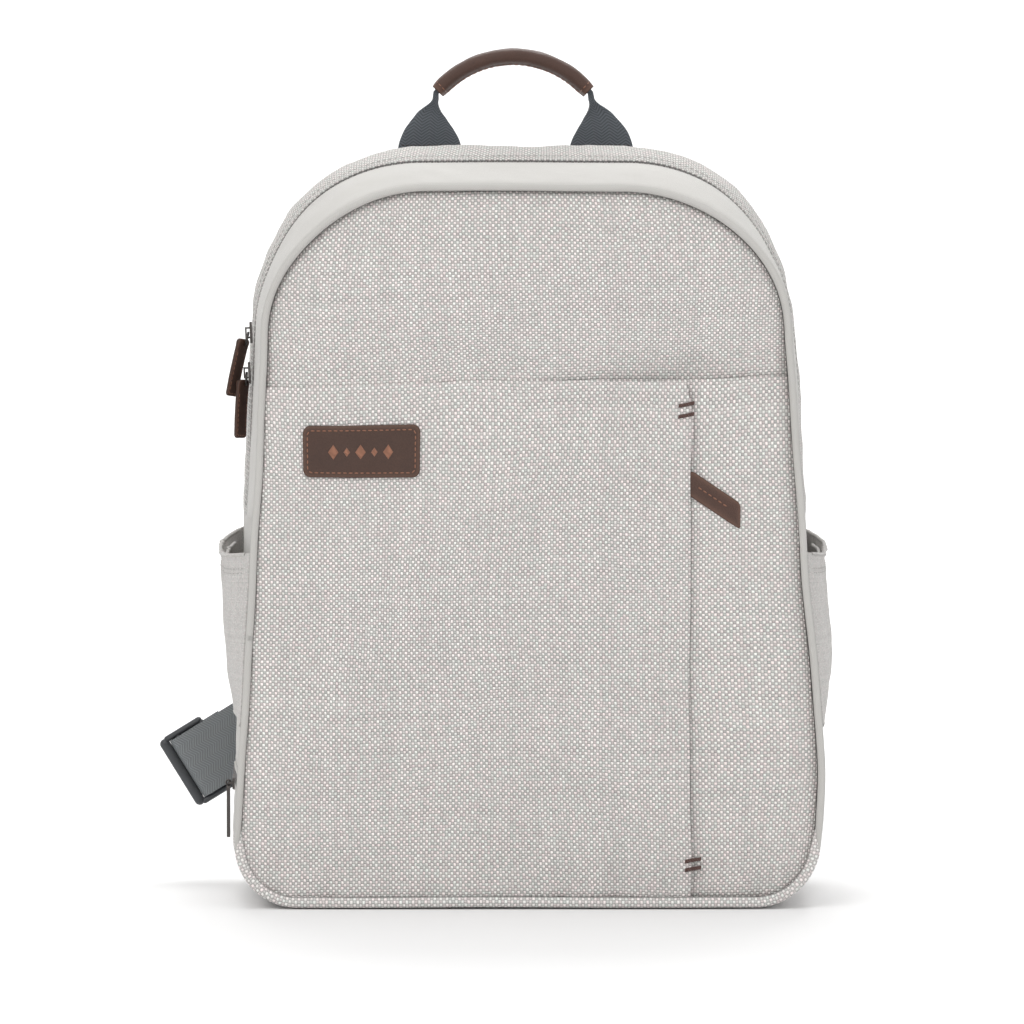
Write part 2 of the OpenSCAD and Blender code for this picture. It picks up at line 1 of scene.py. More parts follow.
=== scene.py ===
import math
import numpy as np
import bpy
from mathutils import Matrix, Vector


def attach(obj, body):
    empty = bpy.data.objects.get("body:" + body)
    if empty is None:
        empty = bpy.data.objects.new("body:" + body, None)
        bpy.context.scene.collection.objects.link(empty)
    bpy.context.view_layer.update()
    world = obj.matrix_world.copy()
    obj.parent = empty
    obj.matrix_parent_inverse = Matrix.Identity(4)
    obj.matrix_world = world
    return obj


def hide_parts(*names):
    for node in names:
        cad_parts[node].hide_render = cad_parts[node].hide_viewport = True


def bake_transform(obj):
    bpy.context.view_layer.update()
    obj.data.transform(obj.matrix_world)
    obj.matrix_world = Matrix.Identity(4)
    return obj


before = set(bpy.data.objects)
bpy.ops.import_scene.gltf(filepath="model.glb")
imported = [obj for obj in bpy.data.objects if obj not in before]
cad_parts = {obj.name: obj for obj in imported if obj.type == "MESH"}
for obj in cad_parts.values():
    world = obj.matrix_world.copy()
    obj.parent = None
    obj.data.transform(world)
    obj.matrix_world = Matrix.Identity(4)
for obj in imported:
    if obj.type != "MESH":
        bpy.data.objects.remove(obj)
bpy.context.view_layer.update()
scene = bpy.context.scene
MM = 0.001
SHELL = "shell"

# Lengths below are in millimetres, in the row frame, and turn into metres as each mesh is made.


# ---------------------------------------------------------------- numbers
def arr(*a):
    return np.array(a, float)


def unit(v):
    v = np.asarray(v, float)
    return v / np.maximum(np.linalg.norm(v, axis=-1, keepdims=True), 1e-9)


def step(a, b, x):
    t = np.clip((np.asarray(x, float) - a) / (b - a), 0, 1)
    return t * t * (3 - 2 * t)


def bell(x, c, w):
    return np.exp(-(((np.asarray(x, float) - c) / w) ** 2))


def field(P, wave, seed, octaves=2):
    """A smooth random field over points, about -1 to 1."""
    r = np.random.default_rng(seed)
    out, amp, tot = 0, 1.0, 0
    for o in range(octaves):
        for _ in range(7):
            d = unit(r.normal(size=3))
            f = 2 * np.pi / (wave * r.uniform(0.7, 1.5) / 2**o)
            out = out + amp * np.sin(P @ (d * f) + r.uniform(0, 6.283))
        tot += amp * 7**0.5
        amp *= 0.5
    return out / tot * 1.3


def spline(P, n=None, step_mm=None):
    """Points along a smooth curve through P, of any dimension, even by length."""
    P = np.asarray(P, float)
    t = np.r_[0, np.cumsum(np.linalg.norm(np.diff(P[:, :3], axis=0), axis=1))]
    m = np.gradient(P, t, axis=0)
    n = n or max(3, int(round(t[-1] / step_mm)) + 1)
    q = np.linspace(0, t[-1], n)
    i = np.clip(np.searchsorted(t, q, side="right") - 1, 0, len(t) - 2)
    h = (t[i + 1] - t[i])[:, None]
    s = (q - t[i])[:, None] / h
    return (2 * s**3 - 3 * s**2 + 1) * P[i] + (s**3 - 2 * s**2 + s) * h * m[i] + (3 * s**2 - 2 * s**3) * P[i + 1] + (s**3 - s**2) * h * m[i + 1]


def along(P):
    return np.r_[0, np.cumsum(np.linalg.norm(np.diff(P, axis=0), axis=1))]


def pchip(knots, vals, x):
    knots, vals = np.asarray(knots, float), np.asarray(vals, float)
    h = np.diff(knots)[:, None]
    d = np.diff(vals, axis=0) / h
    m = np.zeros_like(vals)
    same = d[:-1] * d[1:] > 0
    m[1:-1][same] = (2 * d[:-1] * d[1:] / np.where(same, d[:-1] + d[1:], 1))[same]
    m[0], m[-1] = d[0], d[-1]
    i = int(np.clip(np.searchsorted(knots, x, side="right") - 1, 0, len(knots) - 2))
    w = knots[i + 1] - knots[i]
    s = (x - knots[i]) / w
    return (2 * s**3 - 3 * s**2 + 1) * vals[i] + (s**3 - 2 * s**2 + s) * w * m[i] + (3 * s**2 - 2 * s**3) * vals[i + 1] + (s**3 - s**2) * w * m[i + 1]


# ---------------------------------------------------------------- the bag's stations, as in the CAD
KNOTS = [-66.9, -56, -8, 22, 52, 58]
STATIONS = [
    [55, 309, 88.5, 127.5, 35, 31, -82, 0.0757],
    [55.5, 311.5, 89.5, 126, 33.5, 33.5, -66, 0.05],
    [58, 320, 93, 129, 34, 34, -8, 0],
    [57, 324, 97, 129, 36, 36, 22, 0],
    [57, 324, 95.5, 129, 36, 36, 52, 0],
    [57, 324, 91, 129, 36, 31, 58, 0],
]
sF = STATIONS[0]
FOLD = 286.0
FLY = 91.0
LEAN = 0.0757


def st(v):
    return pchip(KNOTS, STATIONS, v)


def tilt(s):
    dx, dz = s[3] - s[0], s[4] - s[1]
    return math.atan2(dz, dx) + math.acos((s[2] - s[5]) / math.hypot(dx, dz))


def side_x(s, z, d=0.0):
    f = tilt(s)
    return (math.cos(f) * s[0] + math.sin(f) * s[1] + s[2] - d - math.sin(f) * z) / math.cos(f)


def surf_x(y, z, d=0.0):
    """Half width of the body at depth y and height z."""
    y, z = np.broadcast_arrays(np.asarray(y, float), np.asarray(z, float))
    ys = np.stack([s[6] + s[7] * z for s in STATIONS], -1)
    xs = np.stack([side_x(s, z, d) for s in STATIONS], -1)
    out = np.empty(y.shape)
    for k in np.ndindex(y.shape):
        out[k] = np.interp(y[k], ys[k], xs[k])
    return out


def arch2(s, d, z0, ns=34, na=34, nt=24, z1=None):
    """The outline from its left end at height z0 over the top to the right, as (x, z)."""
    f = tilt(s)
    zt = s[1] + (s[2] - d) * math.sin(f)
    zs = z0 + (zt - z0) * np.arange(ns) / ns
    side = np.stack([side_x(s, zs, d), zs], 1)
    a = np.linspace(f, math.pi / 2, na + 1)
    arc = np.stack([s[0] + (s[2] - d) * np.cos(a), s[1] + (s[2] - d) * np.sin(a)], 1)
    top = np.stack([np.linspace(s[0], 0, nt + 1)[1:], np.full(nt, s[1] + s[2] - d)], 1)
    h = np.vstack([side, arc, top])
    return np.vstack([h * [-1, 1], h[::-1][1:]])


def foot2(s, d, z1, ns=14, na=22, nt=44):
    f = tilt(s)
    zt = s[4] + (s[5] - d) * math.sin(f)
    zs = z1 + (zt - z1) * np.arange(ns) / ns
    side = np.stack([side_x(s, zs, d), zs], 1)
    a = np.linspace(f, -math.pi / 2, na + 1)
    arc = np.stack([s[3] + (s[5] - d) * np.cos(a), s[4] + (s[5] - d) * np.sin(a)], 1)
    bot = np.stack([np.linspace(s[3], 0, nt + 1)[1:], np.full(nt, s[4] - s[5] + d)], 1)
    h = np.vstack([side, arc, bot])
    return np.vstack([h * [-1, 1], h[::-1][1:]])


def lift(s, o):
    """(x, z) outline points of a station to (x, y, z)."""
    return np.stack([o[:, 0], s[6] + s[7] * o[:, 1], o[:, 1]], 1)


def front(x, z, s):
    x, z, s = np.broadcast_arrays(x, z, s)
    return np.stack([x, -82 + LEAN * z - s, z], -1)


HARD = arr([-155, -8, 316.5], [-156, -8, 294], [-160.8, -61, 68], [86, -64, 238], [0, 58, 418], [-148, 62, 91], [148, 62, 91], [-47, 62, 380], [47, 62, 380])


def soften(P):
    """The slow unevenness of a standing fabric bag. It is zero at the hardware and at the floor."""
    shape = P.shape
    Q = P.reshape(-1, 3)
    calm = np.ones(len(Q))
    for h in HARD:
        calm *= 1 - np.exp(-(np.linalg.norm(Q - h, axis=1) / 34.0) ** 2)
    ground = step(0, 30, Q[:, 2])
    D = np.stack([field(Q, 150, 3), field(Q, 130, 4), field(Q, 160, 5) * 0.6], 1)
    x, y, z = Q.T
    back = step(-62, -12, y)
    W = np.zeros_like(Q)
    # Fuller shoulders in front, slimmer ones behind, and a fuller lower right.
    W[:, 0] = x * bell(z, 350, 36) * (0.02 - 0.036 * back)
    right = step(95, 150, x) * (1.5 * step(360, 285, z) + 4.6 * step(285, 90, z)) * (0.25 + 0.75 * step(10, 84, z))
    W[:, 0] += right * (1 - 0.55 * back)
    # The top hem of the front pocket climbs a little to the right.
    W[:, 2] = (3.1 * x / 150 * bell(z, 286, 42) + 4.6 * bell(z, 286, 30)) * (1 - back)
    Q = Q + (D * (0.25 + 0.75 * ground)[:, None] * arr(1.3, 1.1, 0.9) + W) * calm[:, None]
    Q[:, 2] = np.maximum(Q[:, 2], 0.0)
    return Q.reshape(shape)


# ---------------------------------------------------------------- meshes
def quads(m, n, wrap=False, off=0):
    i = np.arange(m - 1)[:, None]
    j = np.arange(n if wrap else n - 1)[None, :]
    k = (j + 1) % n
    return np.stack([i * n + j, i * n + k, (i + 1) * n + k, (i + 1) * n + j], -1).reshape(-1, 4) + off


def volume(V, faces):
    total = 0.0
    for F in faces:
        F = np.asarray(F)
        if len(F) == 0:
            continue
        a = V[F[:, 0]]
        for k in range(1, F.shape[1] - 1):
            total += np.einsum("ij,ij->", a, np.cross(V[F[:, k]], V[F[:, k + 1]]))
    return total


def mesh(name, V, faces, mat, wv=None, edge=None, sharp=38, closed=True, smooth=True):
    """faces is a list of index arrays, each of one polygon size. wv gives weave coordinates in mm, edge a wear value from 0 to 1."""
    V = np.asarray(V, float)
    if closed and volume(V - V.mean(0), faces) < 0:
        faces = [np.asarray(F)[:, ::-1] for F in faces if len(F)]
    polys = [list(map(int, f)) for F in faces for f in F]
    me = bpy.data.meshes.new(name)
    me.from_pydata((V * MM).tolist(), [], polys)
    o = bpy.data.objects.new(name, me)
    scene.collection.objects.link(o)
    if wv is not None:
        at = me.attributes.new("wv", "FLOAT_VECTOR", "POINT")
        w = np.zeros((len(V), 3))
        wv = np.asarray(wv, float).reshape(len(V), -1)
        w[:, : wv.shape[1]] = wv * MM
        at.data.foreach_set("vector", w.astype(np.float32).ravel())
    at = me.attributes.new("edge", "FLOAT", "POINT")
    at.data.foreach_set("value", np.asarray(np.zeros(len(V)) if edge is None else edge, np.float32))
    if mat is not None:
        me.materials.append(mat)
    if smooth:
        me.polygons.foreach_set("use_smooth", [True] * len(me.polygons))
        if sharp:
            me.set_sharp_from_angle(angle=math.radians(sharp))
    me.validate()
    me.update()
    return o


def shell(name, O, I, mat, wv=None, edge=None, wrap=False, sharp=38):
    """A closed sheet between two grids of points."""
    m, n = O.shape[:2]
    V = np.vstack([O.reshape(-1, 3), I.reshape(-1, 3)])
    N = m * n
    F = [quads(m, n, wrap), quads(m, n, wrap, N)[:, ::-1]]
    j = np.arange(n if wrap else n - 1)
    k = (j + 1) % n
    b = (m - 1) * n
    F.append(np.stack([j, N + j, N + k, k], 1))
    F.append(np.stack([b + j, b + k, N + b + k, N + b + j], 1))
    if not wrap:
        i = np.arange(m - 1)
        F.append(np.stack([i * n, (i + 1) * n, N + (i + 1) * n, N + i * n], 1))
        e = n - 1
        F.append(np.stack([i * n + e, N + i * n + e, N + (i + 1) * n + e, (i + 1) * n + e], 1))
    w = None if wv is None else np.vstack([wv.reshape(N, -1)] * 2)
    e = None if edge is None else np.r_[edge.ravel(), edge.ravel()]
    return mesh(name, V, F, mat, w, e, sharp)


def tube(name, R, mat, wv=None, edge=None, sharp=38, loop=False):
    """A tube of rings, an array (m, k, 3), with flat ends."""
    m, k = R.shape[:2]
    V = R.reshape(-1, 3)
    if loop:
        idx = np.arange(m * k).reshape(m, k)
        idx = np.vstack([idx, idx[:1]])
        a, b, c, d = idx[:-1], np.roll(idx[:-1], -1, 1), np.roll(idx[1:], -1, 1), idx[1:]
        F = [np.stack([a, b, c, d], -1).reshape(-1, 4)]
    else:
        F = [quads(m, k, True), np.arange(k)[::-1][None, :], np.arange((m - 1) * k, m * k)[None, :]]
    return mesh(name, V, F, mat, wv, edge, sharp)


def frames(P, up):
    """Tangent, side and normal along a path, with the normal close to up."""
    P = np.asarray(P, float)
    T = unit(np.gradient(P, axis=0))
    up = np.broadcast_to(np.asarray(up, float), P.shape)
    N = unit(up - T * np.einsum("ij,ij->i", up, T)[:, None])
    return T, np.cross(T, N), N


def round_tube(name, P, r, mat, up=(0, 1, 0), k=10, loop=False, squash=1.0):
    P = np.asarray(P, float)
    T, S, N = frames(P, up)
    if loop:
        T = unit(np.roll(P, -1, 0) - np.roll(P, 1, 0))
        u = np.broadcast_to(np.asarray(up, float), P.shape)
        N = unit(u - T * np.einsum("ij,ij->i", u, T)[:, None])
        S = np.cross(T, N)
    r = np.broadcast_to(np.asarray(r, float), (len(P),))
    a = np.arange(k) * 2 * np.pi / k
    R = P[:, None] + r[:, None, None] * (np.cos(a)[None, :, None] * S[:, None] + squash * np.sin(a)[None, :, None] * N[:, None])
    L = along(P)
    wv = np.stack([np.broadcast_to(L[:, None], (len(P), k)), np.broadcast_to(a[None, :] * r.mean(), (len(P), k))], -1)
    return tube(name, R, mat, wv, loop=loop)


def ribbon(name, P, W, half, thick, mat, k=13, crown=0.0, lip=0.3):
    """A flat strap along P. W is its width direction, half its half width."""
    P = np.asarray(P, float)
    T = unit(np.gradient(P, axis=0))
    W = np.broadcast_to(np.asarray(W, float), P.shape)
    W = unit(W - T * np.einsum("ij,ij->i", W, T)[:, None])
    N = np.cross(T, W)
    half = np.broadcast_to(np.asarray(half, float), (len(P),))
    u = np.sin(np.linspace(-1, 1, k) * math.pi / 2)
    t = thick / 2 * (1 - lip * np.abs(u) ** 8)
    C = P[:, None] + W[:, None] * (half[:, None] * u)[..., None] + N[:, None] * (crown * (1 - u**2))[None, :, None]
    O = C + N[:, None] * t[None, :, None]
    I = C - N[:, None] * t[None, :, None]
    L = along(P)
    wv = np.stack([np.broadcast_to(L[:, None], (len(P), k)), half[:, None] * u], -1)
    return shell(name, O, I, mat, wv)


def copies(name, tv, tf, O, X, Y, Z, mat, wv=None, sharp=50):
    """One mesh of copies of a small template, at origins O with axes X, Y and Z, each (n, 3) and carrying its own scale."""
    n, t = len(O), len(tv)
    V = O[:, None] + tv[None, :, 0:1] * X[:, None] + tv[None, :, 1:2] * Y[:, None] + tv[None, :, 2:3] * Z[:, None]
    if np.linalg.det(np.stack([X[0], Y[0], Z[0]])) < 0:
        tf = [F[:, ::-1] for F in tf]
    F = [(np.arange(n)[:, None, None] * t + f[None]).reshape(-1, f.shape[1]) for f in tf]
    w = None
    if wv is None:
        w = np.repeat(np.stack([np.arange(n) * 3.7, np.zeros(n)], 1), t, 0) + np.tile(tv[:, :2], (n, 1))
    return mesh(name, V.reshape(-1, 3), F, mat, w, closed=False, sharp=sharp)


def bead_template(k=6):
    xs, rs = arr(-1, -0.82, -0.35, 0.35, 0.82, 1), arr(0.25, 0.72, 1, 1, 0.72, 0.25)
    a = np.arange(k) * 2 * np.pi / k
    V = np.stack([np.repeat(xs, k), np.outer(rs, np.cos(a)).ravel(), np.outer(rs, np.sin(a)).ravel()], 1)
    return V, [quads(6, k, True)[:, ::-1], np.arange(k)[None, :], np.arange(5 * k, 6 * k)[::-1][None, :]]


def block_template():
    """A small block with rounded edges."""
    g = arr(-1, -0.72, 0.72, 1)
    pts, idx = [], {}
    for i in range(4):
        for j in range(4):
            for k in range(4):
                if 0 in (i, j, k) or 3 in (i, j, k):
                    p = arr(g[i], g[j], g[k])
                    q = np.clip(p, -0.72, 0.72)
                    d = p - q
                    L = np.linalg.norm(d)
                    idx[i, j, k] = len(pts)
                    pts.append(q + d / L * 0.28 if L > 0 else p)
    F = []
    for ax in range(3):
        for side in (0, 3):
            for a in range(3):
                for b in range(3):
                    def key(u, v):
                        c = [u, v]
                        c.insert(ax, side)
                        return idx[tuple(c)]
                    f = [key(a, b), key(a + 1, b), key(a + 1, b + 1), key(a, b + 1)]
                    F.append(f)
    V = np.array(pts)
    F = np.array(F)
    c = V[F].mean(1)
    nrm = np.cross(V[F[:, 1]] - V[F[:, 0]], V[F[:, 2]] - V[F[:, 1]])
    bad = np.einsum("ij,ij->i", c, nrm) < 0
    F[bad] = F[bad][:, ::-1]
    return V, [F]


BEAD = bead_template()
BLOCK = block_template()


def stitches(name, P, up, mat, pitch=3.2, length=2.3, r=0.32, sink=0.1, flat=0.75, skew=0.0):
    """A row of thread stitches along P, lying on the surface whose normal is up."""
    P = np.asarray(P, float)
    L = along(P)
    n = max(1, int(L[-1] / pitch))
    q = (np.arange(n) + 0.5) * L[-1] / n
    C = np.stack([np.interp(q, L, P[:, k]) for k in range(3)], 1)
    E = np.stack([np.interp(np.clip(q + 0.6, 0, L[-1]), L, P[:, k]) for k in range(3)], 1)
    B = np.stack([np.interp(np.clip(q - 0.6, 0, L[-1]), L, P[:, k]) for k in range(3)], 1)
    T = unit(E - B)
    U = np.asarray(up, float)
    U = np.broadcast_to(U, P.shape) if U.ndim == 1 else U
    U = np.stack([np.interp(q, L, U[:, k]) for k in range(3)], 1)
    N = unit(U - T * np.einsum("ij,ij->i", U, T)[:, None])
    S = np.cross(N, T)
    if skew:
        T, S = T * math.cos(skew) + S * math.sin(skew), S * math.cos(skew) - T * math.sin(skew)
    C = C + N * (r * flat - sink)
    return copies(name, BEAD[0], BEAD[1], C, T * length / 2, S * r, N * r * flat, mat)


def teeth(name, P, up, side, mat, pitch=1.7, size=(0.62, 1.25, 0.85)):
    """Coil teeth along P: size is half length along the path, half width to the side and half height."""
    P = np.asarray(P, float)
    L = along(P)
    n = int(L[-1] / pitch)
    q = (np.arange(n) + 0.5) * L[-1] / n
    at = lambda A: np.stack([np.interp(q, L, A[:, k]) for k in range(3)], 1)
    C, N, S = at(P), unit(at(np.broadcast_to(np.asarray(up, float), P.shape))), unit(at(np.broadcast_to(np.asarray(side, float), P.shape)))
    T = np.cross(S, N)
    return copies(name, BLOCK[0], BLOCK[1], C, T * size[0], S * size[1], N * size[2], mat)


def rows(zs, xl, xr, nx, dense=0.55):
    """A grid of points in a flat outline whose left and right edges are xl(z) and xr(z)."""
    t = np.linspace(-1, 1, nx)
    u = (1 - dense) * t + dense * np.sin(t * math.pi / 2)
    l, r = np.array([xl(z) for z in zs]), np.array([xr(z) for z in zs])
    X = (l + r)[:, None] / 2 + (r - l)[:, None] / 2 * u[None, :]
    return X, np.repeat(np.asarray(zs, float)[:, None], nx, 1)


def dense_ends(a, b, n, low=0.5, high=0.5):
    t = np.linspace(0, 1, n)
    e = t - low * np.sin(2 * np.pi * np.minimum(t, 0.5)) / (2 * np.pi) - high * np.where(t > 0.5, np.sin(2 * np.pi * t) / (2 * np.pi), 0)
    return a + (b - a) * e


def edge_distance(X, Z, outline):
    """Distance of each point to a polyline of (x, z) points."""
    A, B = outline[:-1], outline[1:]
    P = np.stack([X.ravel(), Z.ravel()], 1)
    best = np.full(len(P), 1e9)
    for a, b in zip(A, B):
        d = b - a
        t = np.clip(((P - a) @ d) / max(d @ d, 1e-9), 0, 1)
        best = np.minimum(best, np.linalg.norm(P - a - t[:, None] * d, axis=1))
    return best.reshape(X.shape)


def rounded_x(a, b, r, z):
    """Half width of a rounded rectangle of half size a by b at height z from its middle."""
    e = abs(z) - (b - r)
    return a if e <= 0 else a - r + math.sqrt(max(0.0, r * r - min(e, r) ** 2))

# ---------------------------------------------------------------- light and camera settings
WORLD = 0.74
LIGHTS = (
    ("key", (-1.1, -1.9, 2.1), (0, 0, 0.2), (1.6, 1.2), 24.0, (1.0, 0.99, 0.975)),
    ("fill", (1.7, -1.6, 1.2), (0, 0, 0.2), (1.6, 1.6), 6.5, (0.98, 0.99, 1.0)),
    ("top", (0.1, 0.2, 2.4), (0, 0, 0.2), (1.8, 1.4), 10.0, (1.0, 1.0, 1.0)),
    ("back", (0.05, 1.5, 2.2), (0, -0.1, 0.2), (1.5, 1.1), 30.0, (1.0, 1.0, 1.0)),
    ("wall", (0.0, 1.8, 1.7), (0, 3.5, 0.35), (3.0, 0.6), 26.0, (1.0, 1.0, 1.0)),
)
CAM_AT, CAM_TO, CAM_LENS, CAM_ROLL = (-0.015, -3.073, 0.367), (-0.007, -0.075, 0.2188), 191.6, 0.0


# ---------------------------------------------------------------- materials
class Nodes:
    """A small builder for a material's node tree."""

    def __init__(self, name):
        self.mat = bpy.data.materials.new(name)
        self.mat.use_nodes = True
        self.nt = self.mat.node_tree
        self.nt.nodes.clear()
        self.out = self.nt.nodes.new("ShaderNodeOutputMaterial")
        self.bsdf = self.nt.nodes.new("ShaderNodeBsdfPrincipled")
        self.nt.links.new(self.bsdf.outputs[0], self.out.inputs[0])

    def put(self, sock, v):
        if isinstance(v, bpy.types.NodeSocket):
            self.nt.links.new(v, sock)
        else:
            sock.default_value = v[:3] if sock.type == "VECTOR" else v

    def math(self, op, a, b=None, c=None, clamp=False):
        n = self.nt.nodes.new("ShaderNodeMath")
        n.operation, n.use_clamp = op, clamp
        for k, v in enumerate((a, b, c)):
            if v is not None:
                self.put(n.inputs[k], v)
        return n.outputs[0]

    def attr(self, name):
        n = self.nt.nodes.new("ShaderNodeAttribute")
        n.attribute_name = name
        return n

    def split(self, v):
        n = self.nt.nodes.new("ShaderNodeSeparateXYZ")
        self.put(n.inputs[0], v)
        return n.outputs

    def join(self, x, y, z=0.0):
        n = self.nt.nodes.new("ShaderNodeCombineXYZ")
        for k, v in enumerate((x, y, z)):
            self.put(n.inputs[k], v)
        return n.outputs[0]

    def noise(self, vec, scale, detail=2.0, rough=0.5, dist=0.0):
        n = self.nt.nodes.new("ShaderNodeTexNoise")
        self.put(n.inputs["Vector"], vec)
        n.inputs["Scale"].default_value = scale
        n.inputs["Detail"].default_value = detail
        n.inputs["Roughness"].default_value = rough
        n.inputs["Distortion"].default_value = dist
        return n.outputs[0]

    def voronoi(self, vec, scale, feature="F1", randomness=1.0):
        n = self.nt.nodes.new("ShaderNodeTexVoronoi")
        n.feature = feature
        self.put(n.inputs["Vector"], vec)
        n.inputs["Scale"].default_value = scale
        n.inputs["Randomness"].default_value = randomness
        return n.outputs["Distance"]

    def white(self, vec):
        n = self.nt.nodes.new("ShaderNodeTexWhiteNoise")
        n.noise_dimensions = "3D"
        self.put(n.inputs["Vector"], vec)
        return n.outputs["Value"]

    def mix(self, f, a, b, blend="MIX"):
        n = self.nt.nodes.new("ShaderNodeMix")
        n.data_type, n.blend_type = "RGBA", blend
        self.put(n.inputs[0], f)
        self.put(n.inputs[6], a)
        self.put(n.inputs[7], b)
        return n.outputs[2]

    def map(self, v, a, b, c, d):
        n = self.nt.nodes.new("ShaderNodeMapRange")
        self.put(n.inputs[0], v)
        for k, x in enumerate((a, b, c, d)):
            self.put(n.inputs[k + 1], x)
        return n.outputs[0]

    def scale(self, col, f):
        """A colour times a number."""
        n = self.nt.nodes.new("ShaderNodeVectorMath")
        n.operation = "SCALE"
        self.put(n.inputs[0], col)
        self.put(n.inputs["Scale"], f)
        return n.outputs[0]

    def bump(self, h, dist, strength=1.0, normal=None):
        n = self.nt.nodes.new("ShaderNodeBump")
        n.inputs["Strength"].default_value = strength
        n.inputs["Distance"].default_value = dist
        self.put(n.inputs["Height"], h)
        if normal is not None:
            self.put(n.inputs["Normal"], normal)
        return n.outputs[0]

    def finish(self, col=None, rough=None, normal=None, metallic=None, sheen=None, coat=None, spec=None, sheen_rough=None, coat_rough=None):
        b = self.bsdf.inputs
        for key, v in (("Base Color", col), ("Roughness", rough), ("Normal", normal), ("Metallic", metallic), ("Sheen Weight", sheen), ("Coat Weight", coat), ("Specular IOR Level", spec), ("Sheen Roughness", sheen_rough), ("Coat Roughness", coat_rough)):
            if v is not None:
                self.put(b[key], v)
        return self.mat


def lin(r, g, b):
    f = lambda c: (c / 255 / 12.92) if c / 255 <= 0.04045 else ((c / 255 + 0.055) / 1.055) ** 2.4
    return (f(r), f(g), f(b), 1.0)


def weave_mat(name, col, p=1.5, depth=0.42, valley_shade=0.62, heather=0.05, tint=0.03, fibre=0.5, rough=0.86, slack=0.12, net=0.0):
    """A plain basket weave of threads p mm wide: rounded pillows in a checkerboard, with painted shade darkening the
    low crossings between them.
    """
    g = Nodes(name)
    wv = g.attr("wv").outputs["Vector"]
    u, v, w = g.split(wv)
    P = p * MM
    wob = g.noise(wv, 260.0, 1.0)
    wob2 = g.noise(wv, 310.0, 1.0)
    au = g.math("ADD", g.math("DIVIDE", u, P), g.math("MULTIPLY", g.math("SUBTRACT", wob, 0.5), slack * 4))
    av = g.math("ADD", g.math("DIVIDE", v, P), g.math("MULTIPLY", g.math("SUBTRACT", wob2, 0.5), slack * 4))
    iu, iv = g.math("FLOOR", au), g.math("FLOOR", av)
    fu, fv = g.math("FRACT", au), g.math("FRACT", av)
    par = g.math("FLOORED_MODULO", g.math("ADD", iu, iv), 2.0)
    su = g.math("SINE", g.math("MULTIPLY", fu, math.pi))
    sv = g.math("SINE", g.math("MULTIPLY", fv, math.pi))
    h0 = g.math("MULTIPLY", g.math("POWER", su, 0.55), g.math("MULTIPLY_ADD", sv, 0.55, 0.45))
    h1 = g.math("MULTIPLY", g.math("POWER", sv, 0.55), g.math("MULTIPLY_ADD", su, 0.55, 0.45))
    h = g.math("ADD", g.math("MULTIPLY", h0, g.math("SUBTRACT", 1.0, par)), g.math("MULTIPLY", h1, par))
    # Twisted fibres run along whichever thread is on top.
    ply0 = g.math("SINE", g.math("MULTIPLY", g.math("ADD", fv, g.math("MULTIPLY", fu, 0.8)), 18.0))
    ply1 = g.math("SINE", g.math("MULTIPLY", g.math("ADD", fu, g.math("MULTIPLY", fv, 0.8)), 18.0))
    ply = g.math("ADD", g.math("MULTIPLY", ply0, g.math("SUBTRACT", 1.0, par)), g.math("MULTIPLY", ply1, par))
    fuzz = g.noise(wv, 5200.0, 2.0, 0.7)
    height = g.math("ADD", h, g.math("MULTIPLY", g.math("MULTIPLY_ADD", ply, 0.05, g.math("MULTIPLY", fuzz, 0.22)), fibre))
    cell = g.white(g.join(iu, iv, 3.0))
    warp = g.white(g.join(g.math("MULTIPLY", iu, g.math("SUBTRACT", 1.0, par)), g.math("MULTIPLY", iv, par), par))
    hue = g.white(g.join(iv, iu, 9.0))
    big = g.noise(wv, 14.0, 3.0, 0.55)
    dirt = g.noise(wv, 60.0, 3.0, 0.6)
    # Painted shade: the colour darkens with the weave's height, down to this factor at the low crossings.
    shade = g.math("MULTIPLY_ADD", h, 1.0 - valley_shade, valley_shade)
    shade = g.math("MULTIPLY", shade, g.math("MULTIPLY_ADD", par, -net, 1.0))
    shade = g.math("MULTIPLY", shade, g.math("MULTIPLY_ADD", cell, heather * 2, 1.0 - heather))
    shade = g.math("MULTIPLY", shade, g.math("MULTIPLY_ADD", warp, heather * 1.2, 1.0 - heather * 0.6))
    shade = g.math("MULTIPLY", shade, g.math("MULTIPLY_ADD", big, 0.09, 0.955))
    shade = g.math("MULTIPLY", shade, g.math("MULTIPLY_ADD", dirt, 0.05, 0.975))
    warm = (col[0] * (1 + tint * 1.6), col[1] * (1 - tint * 0.6), col[2] * (1 - tint * 0.2), 1)
    cool = (col[0] * (1 - tint * 1.2), col[1] * (1 + tint * 0.7), col[2] * (1 + tint * 0.2), 1)
    c = g.scale(g.mix(hue, warm, cool), shade)
    n = g.bump(height, depth * MM)
    r = g.math("MULTIPLY_ADD", fuzz, 0.12, rough - 0.06)
    return g.finish(c, r, n, sheen=0.25, sheen_rough=0.5, spec=0.3)


